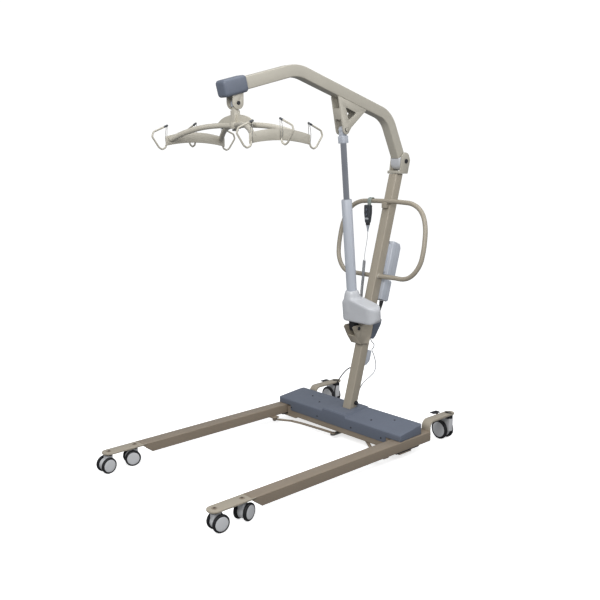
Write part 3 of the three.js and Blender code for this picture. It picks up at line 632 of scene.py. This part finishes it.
def make_cover():
    """The moulded cover and its screws."""
    rise = math.atan2(COVER_RISE, COVER_RUN)
    up = (0, -math.sin(rise), math.cos(rise))
    parts = [(cad("base_cover", 3.0, 3, 20), "slate")]
    for x, y in ((-284, -12), (-190, -51), (288, 4), (194, -64)):
        z = COVER_FRONT[1] + (y - COVER_FRONT[0]) * COVER_RISE / COVER_RUN
        parts.append((screw((x, y, z - 0.4), up, 5, 2.4), "black"))
    for x in (-334, -133, 111, 311):
        parts.append((screw((x, -123.6, 87), (0, -1, 0), 4.5, 2.2), "black"))
    piece("cover", "base", parts, ["base_cover"], angle=30)


# ------------------------------------------------------------------ legs
def make_leg(side, tag):
    x = side * LEG_X
    x0, x1 = x - LEG_HALF, x + LEG_HALF
    scarf = [(103, 48), (103, 97), (-1027, 97), (-1027, 88), (-975, 48)]
    tube = prism("x", scarf, x0, x1)
    end = min((f for f in tube.faces if f.normal.y < -0.2 and f.normal.z < -0.3),
              key=lambda f: f.calc_area())
    bmesh.ops.inset_region(tube, faces=[end], thickness=3)
    bmesh.ops.translate(tube, verts=end.verts, vec=(0, 45, 0))
    mouth = set(end.edges)
    long_edges = [e for e in tube.edges if e not in mouth and len(e.link_faces) == 2
                  and e.calc_face_angle(0) > math.radians(30)
                  and abs((e.verts[0].co - e.verts[1].co).normalized().y) > 0.99]
    bmesh.ops.bevel(tube, geom=long_edges, offset=4.5, segments=4, profile=0.5, affect="EDGES",
                    offset_type="OFFSET", clamp_overlap=True)
    # A near-black plate inside the tube's open end, as painted shade in its hollow.
    inside = prism("x", [(-960, 52), (-960, 93), (-940, 93), (-940, 52)], x0 + 4, x1 - 4)
    nose = [(x0, -1008), (x0, -1190)]
    nose += [(x - LEG_HALF * math.cos(t), -1190 - LEG_HALF * math.sin(t))
             for t in [math.pi * k / 32 for k in range(1, 32)]]
    nose += [(x1, -1190), (x1, -1008)]
    # The tube, the nose plate and the rear arm below take the same paint, darkened by different amounts
    # as painted shade.
    parts = [(tube, "paint_shaded_low"), (inside, "dark"), (prism("z", nose, 88, 96, 1.6, 3), "paint_shaded_mid")]
    # rear arm: flat bar stepping up to the rear caster
    outer = fillet([(102.5, 56), (102.5, 146), (295, 146)], 35, False, 6)
    inner = fillet([(112.5, 56), (112.5, 136), (295, 136)], 25, False, 6)
    parts.append((prism("x", outer + inner[::-1], x - 25, x + 25, 1.4, 2), "paint_shaded_mid"))
    disc = [(0, 136), (23.6, 136), (25, 137.4), (25, 144.6), (23.6, 146), (0, 146)]
    parts.append((turned(disc, 48, (x, 295, 0)), "paint_shaded_mid"))
    # A black block under the leg, as painted shade in the gap between the leg and the plate below it.
    parts.append((block(x - 27, x + 27, -148, 20, 41, 49, 1.5), "black"))
    lug = sorted((side * 350, side * 430))
    parts.append((block(*lug, -236, -199, 41.5, 49.5, 1.5), "paint_shaded_low"))
    parts.append((pin((side * 366, -217, 26.5), (side * 366, -217, 43), 6), "steel"))
    parts.append((screw((side * 366, -217, 30.5), (0, 0, -1), 10, 5.5), "steel"))
    # weld where the arm meets the leg's end
    parts.append((sweep([(x - 25, 103.5, 97), (x + 25, 103.5, 97)], round_section(3.2, 12)),
                  "paint_shaded_low"))
    for y in (-1190, -1055):
        washer = [(0, 96.0), (12, 96.0), (12, 96.8), (11, 97.2), (0, 97.2)]
        parts.append((turned(washer, 32, (x, y, 0)), "paint_shaded_low"))
        parts.append((screw((x, y, 96.6), (0, 0, 1), 6.5, 2.6), "shade_paint"))
    parts.append((screw((x, 292, 145.6), (0, 0, 1), 8, 3.4), "steel"))
    piece(f"leg_frame_{tag}", f"{tag}_leg", parts, [f"leg_{tag}"])


# ------------------------------------------------------------------ casters
FRONT = {"radius": 37.5, "wheel": 17, "gap": 30, "trail": 15, "top": 87.7, "neck": 14}
REAR = {"radius": 50, "wheel": 19, "gap": 28, "trail": 40, "top": 135.7, "neck": 20}
CASTERS = [("front_left", FRONT, LEG_X, -1190, -6), ("mid_left", FRONT, LEG_X, -1055, 17),
           ("front_right", FRONT, -LEG_X, -1190, 183), ("mid_right", FRONT, -LEG_X, -1055, 162),
           ("rear_left", REAR, LEG_X, 292, 85), ("rear_right", REAR, -LEG_X, 292, 88)]


def wheel(size, side):
    """Tyre, hub and inner web of one wheel of a pair."""
    r, inner, outer = size["radius"], size["gap"] / 2, size["gap"] / 2 + size["wheel"]
    axle = (0, size["trail"], r)
    along = (side, 0, 0)
    tyre = [(r * 0.66, inner + 2), (r * 0.84, inner + 0.8), (r * 0.94, inner + 1.4),
            (r * 0.985, inner + 3.4), (r, inner + 6), (r, outer - 8), (r * 0.985, outer - 5),
            (r * 0.945, outer - 2.6), (r * 0.88, outer - 1.3), (r * 0.8, outer - 0.9),
            (r * 0.785, outer - 2.2), (r * 0.66, outer - 3)]
    hub = [(0, inner + 1.5), (r * 0.7, inner + 1.5), (r * 0.7, inner + 3), (r * 0.78, outer - 3.4),
           (r * 0.775, outer - 1.7), (r * 0.74, outer - 1.0), (r * 0.62, outer - 0.45),
           (r * 0.4, outer - 0.1), (0, outer)]
    web = [(0, inner), (r * 0.3, inner), (r * 0.32, inner + 0.8), (r * 0.6, inner + 1.2),
           (r * 0.7, inner + 3), (0, inner + 3)]
    return [(turned(tyre + [tyre[0]], 64, axle, along), "tyre"), (turned(hub, 64, axle, along), "hub"),
            (turned(web, 48, axle, along), "grey")]


def make_caster(tag, size, x, y, yaw):
    place = Matrix.Translation((x, y, 0)) @ Matrix.Rotation(math.radians(yaw), 4, "Z")
    r, trail = size["radius"], size["trail"]
    half = size["gap"] / 2 - 1
    axle = pin((-half - 1, trail, r), (half + 1, trail, r), 5)
    wheels = wheel(size, 1) + wheel(size, -1) + [(axle, "steel")]
    piece(f"{tag}_wheels", f"{tag}_wheels", wheels, [f"caster_{tag}_wheels"], place, 40)
    # housing: a disc between the wheels, blended up to the round neck
    rear = size is REAR
    shoulder = 2 * r + (18 if rear else 3)
    parts = [(turned([(0, -half), (r * 0.76, -half), (r * 0.8, 1 - half), (r * 0.8, half - 1),
                      (r * 0.76, half), (0, half)], 48, (0, trail, r), (1, 0, 0)), "hub"),
             (block(-half, half, 2 - size["neck"], trail + 6, r, shoulder, 2.5, 3), "hub")]
    neck = size["neck"]
    top = size["top"]
    parts.append((turned([(0, shoulder - 1.8), (neck - 1, shoulder - 1.8), (neck, shoulder - 0.8),
                          (neck, top - 1), (neck - 1, top), (0, top)], 40), "black"))
    if rear:
        parts.append((block(-half, half, trail, trail + 28, r + 30, 2 * r + 3, 2.5, 3), "hub"))
        py, pz = trail + 20, 2 * r - 4
        tread = [(py + 18, 2 * r + 19), (py + 22, 2 * r + 18), (py + 50, 2 * r + 18),
                 (py + 50, 2 * r + 21), (py + 47, 2 * r + 24), (py + 22, 2 * r + 24)]
        ridges = [(block(-19, 19, py + 24 + 6 * k, py + 27 + 6 * k, 2 * r + 23, 2 * r + 24.8, 0.4),
                   "black") for k in range(4)]
        arm = [(py, pz + 6), (py - 6, pz), (py, pz - 6), (py + 8, pz - 4), (py + 26, pz + 20),
               (py + 26, pz + 26), (py + 18, pz + 26)]
        pedal = [(prism("x", arm, -3.5, 3.5, 0.8), "black"),
                 (prism("x", tread, -23, 23, 1.6, 3), "black"),
                 (pin((1 - half, py, pz), (half - 1, py, pz), 4), "steel"), *ridges]
        piece(f"{tag}_brake", f"{tag}_pedal", pedal, [f"caster_{tag}_pedal"], place)
    piece(f"{tag}_fork", f"{tag}_caster", parts, [f"caster_{tag}_housing"], place)


# ------------------------------------------------------------------ mast and yoke
def make_mast():
    """Square column cut level at both ends, its yoke, pin and lock knob."""
    def edge(n, z):
        s = (z - MAST_FOOT[2] + n * math.sin(MAST_LEAN)) / math.cos(MAST_LEAN)
        return MAST_FOOT[1] + n * math.cos(MAST_LEAN) + s * math.sin(MAST_LEAN), z
    outline = [edge(-26, 88.6), edge(26, 88.6), edge(26, 1341.7), edge(-26, 1341.7)]
    # The column takes the paint darkened as painted shade.
    piece("column", "base", [(prism("x", outline, -26, 26, 4.5, 4), "paint_shaded_mid")], ["mast"])

    ears = fillet([(300, 1342), (363, 1342), (381, 1412), (366, 1446), (336, 1453), (314, 1434)],
                  [0, 0, 20, 22, 20, 12], True, 10)
    parts = [(prism("x", ears, sx - 3, sx + 3, 1.2, 2), "paint") for sx in (35, -35)]
    parts.append((block(-37.4, 37.4, 287, 362.4, 1342.5, 1358, 2), "paint"))
    piece("yoke", "base", parts, ["mast_yoke"])
    py, pz = YOKE_PIN
    cap = [(0, 38.3), (11.5, 38.3), (11.5, 41.5), (10, 43.3), (4, 43.5), (0, 43.5)]
    caps = [(pin((-39, py, pz), (39, py, pz), 6), "steel"), *heads(cap, 32, (0, py, pz), "black")]
    piece("yoke_pin", "base", caps, ["boom_pivot_pin"])
    knob = [(0, 26.3), (7, 26.3), (7, 28), (10, 29), (10, 37), (8.5, 39.6), (6, 40), (5, 39.2),
            (0, 39.2)]
    flutes = [(pin((28.6, -3 + 9.6 * math.cos(t), 172 + 9.6 * math.sin(t)),
                   (38, -3 + 9.6 * math.cos(t), 172 + 9.6 * math.sin(t)), 0.9, 0.3, 8), "black")
              for t in [math.radians(30 * k) for k in range(12)]]
    piece("lock_knob_grip", "lock_knob",
          [(turned(knob, 36, (0, -3, 172), (1, 0, 0)), "black"), *flutes], ["mast_lock_knob"])


# ------------------------------------------------------------------ boom
BOOM_ROUTE = fillet([(0, 324, 1432.5), (0, 225, 1632), (0, -403, 1813), (0, -812, 1702.5)],
                    [0, 140, 200, 0], False, 2)
RUN_START = Vector((0, -403, 1813))
RUN = (Vector((0, -812, 1702.5)) - RUN_START).normalized()


def make_boom():
    tube = sweep(BOOM_ROUTE, tube_section(52, 54, 5), (1, 0, 0))
    piece("boom_tube", "boom", [(tube, "paint")], ["boom"])
    py, pz = YOKE_PIN
    # the block's foot is round about the pin, so it clears the yoke at every lift
    outline = [(py + 46 * math.cos(t), pz + 46 * math.sin(t))
               for t in [math.radians(205 + 5 * k) for k in range(27)]]
    outline += fillet([(388, 1392), (388, 1412), (372, 1432), (349, 1443.4), (301, 1419.6)],
                      [0, 16, 0, 0, 0], False, 10)
    end = [(prism("x", outline, -30.5, 30.5, 5, 4), "white")]
    hub = [(0, -31), (14, -31), (16, -29), (16, 29), (14, 31), (0, 31)]
    end.append((turned(hub, 40, (0, py, pz), (1, 0, 0)), "white"))
    piece("end_block", "boom", end, ["boom_end_block"])

    # cap: soft-edged moulding round the boom's front end, in a frame along the front run
    along = Matrix.Translation(RUN_START) @ Matrix.Rotation(math.atan2(RUN.z, RUN.y), 4, "X")
    cap = moved(rounded_bar(width=68, height=72, y0=305, y1=432, corner=15, end=13), along)
    piece("nose_cap", "boom", [(cap, "slate")], ["boom_end_cap"])

    clevis = [(cad("hanger_clevis", 1.0), "paint")]
    piece("clevis", "boom", clevis, ["hanger_clevis"])
    head = [(0, 22.3), (8, 22.3), (8, 25.5), (7, 27), (3.6, 27), (3.4, 25.4), (0, 25.4)]
    bolt = [(pin((-24, HANGER_Y, HANGER_Z), (24, HANGER_Y, HANGER_Z), 5), "steel"),
            *heads(head, 28, (0, HANGER_Y, HANGER_Z), "black")]
    piece("clevis_bolt", "boom", bolt, ["hanger_pin"])

    cap = [(0, 26), (10, 26), (10, 29), (8.6, 30.4), (0, 30.4)]
    parts = [(cad("boom_bracket", 1.0, 2, 40), "paint"),
             *heads(cap, 32, (0, LIFT_TOP.y, LIFT_TOP.z), "black")]
    piece("lift_bracket", "boom", parts, ["boom_bracket"])


# ------------------------------------------------------------------ lifting actuator
def make_lift():
    sleeve = [(15.6, 150), (25, 150), (26, 151), (26, 655), (24.6, 658), (17, 658), (15.6, 656),
              (15.6, 150)]
    collar = [(15.4, 640), (24.2, 640), (24.2, 658.4), (15.4, 658.4), (15.4, 640)]
    piece("lift_tube", "actuator",
          [(turned(sleeve, 56), "pale"), (turned(collar, 48), "grey")], ["actuator_tube"], ON_LIFT)

    rod = [(0, 475), (15, 475), (15, 931), (0, 931)]
    piece("lift_rod", "ram", [(turned(rod, 56), "chrome")], ["actuator_rod"], ON_LIFT)
    section = fillet([(-20, -20), (20, -20), (20, 20), (-20, 20)], 8, True, 15)
    top = LIFT_LONG
    eye = [(0, -13), (15.4, -13), (17, -11.6), (17, 11.6), (15.4, 13), (0, 13)]
    ends = [(prism("z", section, 931.3, 966, 2.4, 3), "pale"),
            (prism("x", [(-15, 960), (15, 960), (15, top), (-15, top)], -13, 13, 1.2), "pale"),
            (turned(eye, 40, (0, 0, top), (1, 0, 0)), "pale"),
            (pin((-19.6, 0, top), (19.6, 0, top), 7), "steel")]
    piece("lift_rod_end", "ram", ends, ["actuator_rod_end"], ON_LIFT)
    make_motor()

    # The bracket takes the paint darkened as painted shade.
    bracket = [(cad("mast_bracket", 1.2, 2, 30), "paint_shaded_mid")]
    piece("lift_foot_bracket", "base", bracket, ["mast_bracket"])
    y, z = LIFT_FOOT.y, LIFT_FOOT.z
    head = [(0, 34.8), (9, 34.8), (9, 37.4), (7.6, 39), (0, 39)]
    low_pin = [(pin((-35.5, y, z), (35.5, y, z), 6), "steel"), *heads(head, 32, (0, y, z), "black")]
    piece("lift_foot_pin", "base", low_pin, ["actuator_lower_pin"])


def make_motor():
    """Motor case: a plan outline under a side outline, melted together with its round collar."""
    plan = fillet([(-49, -43), (169, -43), (169, 48), (-49, 48)], [30, 42, 42, 30], True, 9)
    side = fillet([(-36, 42), (152, 42), (169, 58), (169, 124), (30, 160), (-49, 146), (-49, 56)],
                  [10, 8, 22, 26, 20, 14, 12], True, 15)
    case = prism("z", plan, 30, 170)
    around = block(-400, 400, -400, 400, -400, 400, 0)
    case = cut(case, cut(around, prism("y", side, -500, 500)))
    collar = [(0, 90), (46, 90), (45, 140), (41.5, 165), (37.5, 184), (33, 197), (30, 200), (0, 200)]
    shape = softened([case, turned(collar, 56)], voxel=2.8, turns=60, share=0.4)
    eye = [(0, -18), (15.2, -18), (17, -16.4), (17, 16.4), (15.2, 18), (0, 18)]
    parts = [(shape, "white"),
             (prism("x", [(-17, 0), (17, 0), (17, 56), (-17, 56)], -18, 18, 1.5), "black"),
             (turned(eye, 40, (0, 0, 0), (1, 0, 0)), "black")]
    for x, y in ((-22, -22), (126, -22), (126, 26)):
        parts.append((screw((x, y, 46.4), (0, 0, -1), 4.5, 2.6), "black"))
    piece("motor_case", "actuator", parts, ["motor_housing"], ON_LIFT, 60)


# ------------------------------------------------------------------ push handle
HANDLE_FOOT, HANDLE_LEAN = (163.8, 815), 0.184  # where it starts, and how far back it leans


def make_handle():
    half = [(27.6, 819), (66, 819), (133, 820), (186, 820), (223, 831), (256, 859), (282, 906),
            (290, 965), (289, 1024), (282, 1078), (262, 1132), (228, 1171), (178, 1194), (116, 1200)]
    route = [(x, HANDLE_FOOT[0] + (z - HANDLE_FOOT[1]) * HANDLE_LEAN, z) for x, z in half]
    route += [(-x, y, z) for x, y, z in reversed(route)]
    bar = sweep(curve(route, 150), round_section(12, 28))
    lump = block(-17, 17, 222, 262, 1166, 1196, 3, 3)
    # The bar takes the paint darkened as painted shade.
    parts = [(bar, "paint_shaded_mid"), (lump, "paint_shaded_mid")]
    ring = [(0, 24), (14.6, 26), (15, 27), (13.6, 29.4), (12, 31), (0, 31)]
    parts += heads(ring, 36, (0, 164.5, 819), "paint")
    piece("handle_bar", "base", parts, ["push_handle"], angle=50)


# ------------------------------------------------------------------ boxes behind the mast
def slab(outline, half, ease, steps=3):
    return prism("x", outline, -half, half, ease, steps)


def make_electrics():
    case = slab([(34, 687), (96, 687), (102, 693), (102, 842), (90, 862), (40, 866), (34, 860)],
                46, 4.5, 4)
    parts = [(case, "pale"), (block(-28, 28, 26.3, 36, 700, 848, 1), "pale")]
    # carrying grip, seam and latch
    parts.append((slab([(101, 800), (102, 800), (102, 836), (101, 836)], 30, 0.3, 1), "grey"))
    parts.append((slab([(62, 686.6), (63.6, 686.6), (63.6, 864.6), (62, 864.6)], 46.3, 0.2, 1), "grey"))
    parts.append((block(-12, 12, 66, 84, 862, 866, 1.4), "slate"))
    piece("battery_case", "battery", parts, ["battery"], ON_MAST, 40)

    box = slab([(26.3, 556), (78, 551), (84, 558), (84, 655), (76, 663), (26.3, 663)], 46, 4, 4)
    parts = [(box, "pale"), (block(-14, 14, 80, 92, 634, 646, 2.5, 3), "slate"),
             (slab([(56, 552.4), (57.4, 552.4), (57.4, 663.3), (56, 663.3)], 46.3, 0.2, 1), "grey"),
             (screw((38, 70, 551.8), (0, -0.1, -1), 4, 2.2), "black"),
             (turned([(0, 0), (7, 0), (7, 2), (5.6, 3), (0, 3)], 24, (-28, 83.4, 620), (0, 1, 0)),
              "black")]
    piece("control_case", "base", parts, ["control_box"], ON_MAST, 40)

    boot = [(0, 0), (4.4, 0), (5.4, 1)]
    for k in range(6):
        z = 4 + 7 * k
        r = 5.8 + 0.85 * k
        boot += [(r, z), (r + 0.9, z + 0.8), (r + 0.9, z + 3.6), (r, z + 4.4)]
    boot += [(11, 47), (11, 52), (0, 52)]
    piece("boot", "base", [(turned(boot, 32, (20, 62, 498)), "black")], ["cable_boot"],
          ON_MAST)
    shroud = slab([(26.3, 345), (48, 345), (60, 362), (84, 428), (84, 456), (26.3, 456)], 30, 4, 4)
    piece("shroud", "base", [(shroud, "slate")], ["cable_shroud"], ON_MAST, 40)
    small = slab([(26.3, 200), (44, 206), (60, 226), (62, 240), (62, 276), (56, 284), (26.3, 284)],
                 22, 3, 3)
    parts = [(small, "pale"), (screw((0, 61.6, 268), (0, 1, 0), 3.6, 1.8), "black")]
    piece("junction_case", "base", parts, ["junction_box"], ON_MAST, 40)


# ------------------------------------------------------------------ handset
def make_handset():
    x, by, bz = -98, 235, 1202
    front = [(x - 20, 1180), (x - 20, 1136), (x - 12, 1086), (x + 12, 1086), (x + 20, 1136),
             (x + 20, 1180)]
    body = [(prism("y", fillet(front, [6, 30, 4, 4, 30, 6], True, 10), 198, 222, 5, 4), "handset")]
    tail = [(0, 1040), (3.2, 1040), (4, 1042), (4.6, 1050), (6, 1058), (8.5, 1068), (10.5, 1076),
            (0, 1076)]
    body.append((turned(tail, 36, (x, 210, 0)), "pale"))
    band = [(0, 1074), (10.6, 1074), (11.6, 1075.4), (11.6, 1086.6), (10.6, 1088), (0, 1088)]
    body.append((turned(band, 36, (x, 210, 0)), "black"))
    arc = [math.radians(180 - 6 * k) for k in range(31)]
    strap = [(by - 17.6, 1172)] + [(by + 17.6 * math.cos(t), bz + 17.6 * math.sin(t)) for t in arc]
    strap += [(by + 17.6, 1188), (by + 14, 1188)]
    strap += [(by + 14 * math.cos(t), bz + 14 * math.sin(t)) for t in reversed(arc)] + [(by - 14, 1172)]
    body.append((prism("x", strap, x - 12, x + 12, 0.8), "strap"))
    body.append((block(x - 13, x + 13, 197.2, 222.8, 1104, 1113, 0.8), "label"))
    for z in (1156, 1130):
        ring = [(6.4, 0), (8.6, 0), (8.6, 0.7), (8, 1.3), (6.4, 1.3), (6.4, 0)]
        body.append((turned(ring, 32, (x, 198, z), (0, -1, 0)), "black"))
    piece("handset_case", "base", body, ["handset"], angle=40)
    for tag, z in (("up", 1156), ("down", 1130)):
        cap = [(0, 0), (6, 0), (6, 5.6), (5.4, 6.4), (3, 6.2), (0, 5.9)]
        piece(f"button_cap_{tag}", f"button_{tag}",
              [(turned(cap, 32, (x, 202, z), (0, -1, 0)), "slate")], [f"handset_button_{tag}"])


# ------------------------------------------------------------------ hanger and spreader
HOOK = [(-4, 8), (3, -9), (20, -17), (36, -8), (70, 38), (62, 58), (-12, 88)]


def hook(root, out):
    """Bent-rod hook with a dark tip and two thin wire keepers that close its mouth."""
    root, out = Vector(root), Vector(out)
    route = fillet([tuple(root + out * u + Vector((0, 0, w))) for u, w in HOOK],
                   [0, 9, 13, 13, 10, 9, 0], False, 12)
    def at(u, w, across=0.0):
        return tuple(root + out * u + out.cross(Vector((0, 0, 1))) * across + Vector((0, 0, w)))
    parts = [(sweep(route, round_section(4, 16)), "paint"),
             (pin(at(9, 79.5), at(-12.6, 88.2), 4.6, 1.6, 20), "handset")]
    for side in (1, -1):
        wire = [at(-9, 86, 3 * side), at(-4, 60, 6 * side), at(-2, 30, 6 * side), at(-4, 6, 4 * side)]
        parts.append((sweep([tuple(q) for q in curve(wire, 14)], round_section(1.1, 10)), "steel"))
    return parts


def make_spreader():
    y = HANGER_Y
    stem = [(turned([(0, 1536), (8, 1536), (8, 1638), (0, 1638)], 32, (0, y, 0)), "steel"),
            (turned([(0, 1533), (13.4, 1533), (14, 1534), (14, 1540), (13, 1541), (0, 1541)], 6,
                    (0, y, 0)), "steel"),
            (block(-14, 14, y - 14, y + 14, 1634, HANGER_Z, 1.5), "pale"),
            (turned([(0, -14), (12.8, -14), (14, -12.8), (14, 12.8), (12.8, 14), (0, 14)], 40,
                    (0, y, HANGER_Z), (1, 0, 0)), "pale")]
    piece("stem", "hanger", stem, ["hanger_stem"], angle=30)

    dome = [(-125, 1557), (125, 1557)]
    dome += [(128 * math.cos(t), 1551 + 51 * math.sin(t))
             for t in [math.radians(12 + 3.9 * k) for k in range(41)]]
    parts = [(block(-15, 15, y - 15, y + 15, 1546, 1619, 1.5, 3), "paint"),
             (turned([(0, 1618), (15, 1618), (15, 1630.6), (13.6, 1632), (0, 1632)], 40, (0, y, 0)),
              "paint"),
             (prism("y", dome, y - 3.5, y + 3.5, 1, 2), "paint"),
             (turned([(0, 1543), (23, 1543), (24, 1544), (24, 1567), (23, 1568), (0, 1568)], 48,
                     (0, y, 0)), "paint")]
    for sx in (1, -1):
        for sy in (1, -1):
            arm = [(0, y + sy * 3, 1556), (sx * 70, y + sy * 30, 1557), (sx * 150, y + sy * 66, 1550),
                   (sx * 225, y + sy * 104, 1530), (sx * 288.6, y + sy * 138.8, 1501.4)]
            parts.append((sweep(curve(arm, 40), round_section(11.5, 24)), "paint"))
    piece("spreader_arms", "spreader", parts, ["spreader_frame"], angle=45)

    for sx, tag in ((1, "left"), (-1, "right")):
        steps = [k / 16 - 1 for k in range(33)]
        top = [(y + 162 * u, 1535 - 21 * u * u) for u in steps]
        low = [(y + 162 * u, 1489 - 16 * u * u) for u in reversed(steps)]
        inside = 289 if sx > 0 else -294
        bar = [(prism("x", top + low, inside, inside + 5, 1.2, 2), "paint")]
        for root, out in (((sx * 297, y - 158, 1474), (0, -1, 0)),
                          ((sx * 297, y + 158, 1474), (0, 1, 0)),
                          ((sx * 299, y, 1488), (sx, 0, 0))):
            bar += hook(root, out)
        piece(f"end_bar_{tag}", "spreader", bar, [f"spreader_bar_{tag}"], angle=45)


# ------------------------------------------------------------------ light and floor
def area_light(name, place, target, size, power):
    data = bpy.data.lights.new(name, "AREA")
    data.shape = "RECTANGLE"
    data.size, data.size_y = size
    data.energy = power
    light = linked(name, data)
    light.location = place
    light.rotation_mode = "QUATERNION"
    light.rotation_quaternion = (Vector(target) - Vector(place)).to_track_quat("-Z", "Y")


SKY_BELOW, SKY_ABOVE, SKY_SEEN = 0.24, 0.42, 1.05
FLOOR_GLOW, FLOOR_REACH, FLOOR_DROP = 0.68, 14, 0.0005


def make_studio():
    """White floor and sky, a soft key light from the front left, weaker ones from behind and above."""
    scene = bpy.context.scene
    scene.view_settings.view_transform = "Standard"
    world = bpy.data.worlds.new("studio")
    world.use_nodes = True
    scene.world = world
    tree = world.node_tree
    light = tree.nodes["Background"]
    light.inputs["Color"].default_value = (0.95, 0.97, 1.0, 1)
    toward = tree.nodes.new("ShaderNodeSeparateXYZ")
    tree.links.new(tree.nodes.new("ShaderNodeTexCoord").outputs["Generated"], toward.inputs["Vector"])
    height = tree.nodes.new("ShaderNodeMapRange")
    for socket, value in (("From Min", -0.3), ("From Max", 0.4), ("To Min", SKY_BELOW),
                          ("To Max", SKY_ABOVE)):
        height.inputs[socket].default_value = value
    tree.links.new(toward.outputs["Z"], height.inputs["Value"])
    tree.links.new(height.outputs["Result"], light.inputs["Strength"])
    seen = tree.nodes.new("ShaderNodeBackground")
    seen.inputs["Color"].default_value = (1, 1, 1, 1)
    seen.inputs["Strength"].default_value = SKY_SEEN
    path = tree.nodes.new("ShaderNodeLightPath")
    mix = tree.nodes.new("ShaderNodeMixShader")
    tree.links.new(path.outputs["Is Camera Ray"], mix.inputs["Fac"])
    tree.links.new(light.outputs["Background"], mix.inputs[1])
    tree.links.new(seen.outputs["Background"], mix.inputs[2])
    tree.links.new(mix.outputs["Shader"], tree.nodes["World Output"].inputs["Surface"])

    floor_look = Look("floor", 0.7, specular=0.2)
    floor_look.colour(floor_look.ramp(floor_look.noise(3, 2), [(0.3, (0.93, 0.93, 0.93, 1)),
                                                               (0.7, (0.96, 0.96, 0.96, 1))]))
    floor_look.shader.inputs["Emission Color"].default_value = (1, 1, 1, 1)
    floor_look.shader.inputs["Emission Strength"].default_value = FLOOR_GLOW
    mesh = bpy.data.meshes.new("floor")
    corners = [(u * FLOOR_REACH, v * FLOOR_REACH, 0) for u, v in ((-1, -1), (1, -1), (1, 1), (-1, 1))]
    mesh.from_pydata(corners, [], [(0, 1, 2, 3)])
    mesh.materials.append(floor_look.material)
    floor = linked("floor", mesh)
    floor.location.z = -FLOOR_DROP
    floor.visible_diffuse = False
    floor.visible_glossy = False
    area_light("key", (1.9, -2.6, 2.9), (0, 0, 1.0), (2.2, 2.2), 98)
    area_light("side", (3.2, 1.4, 2.8), (0.1, 0.4, 1.5), (1.8, 1.8), 30)
    area_light("top", (0.3, 0.3, 4.2), (0, 0, 0.5), (3.0, 3.0), 40)


make_base()
make_cover()
for side, tag in ((1, "left"), (-1, "right")):
    make_leg(side, tag)
for caster in CASTERS:
    make_caster(*caster)
make_mast()
make_boom()
make_lift()
make_handle()
make_electrics()
make_handset()
make_spreader()
make_studio()
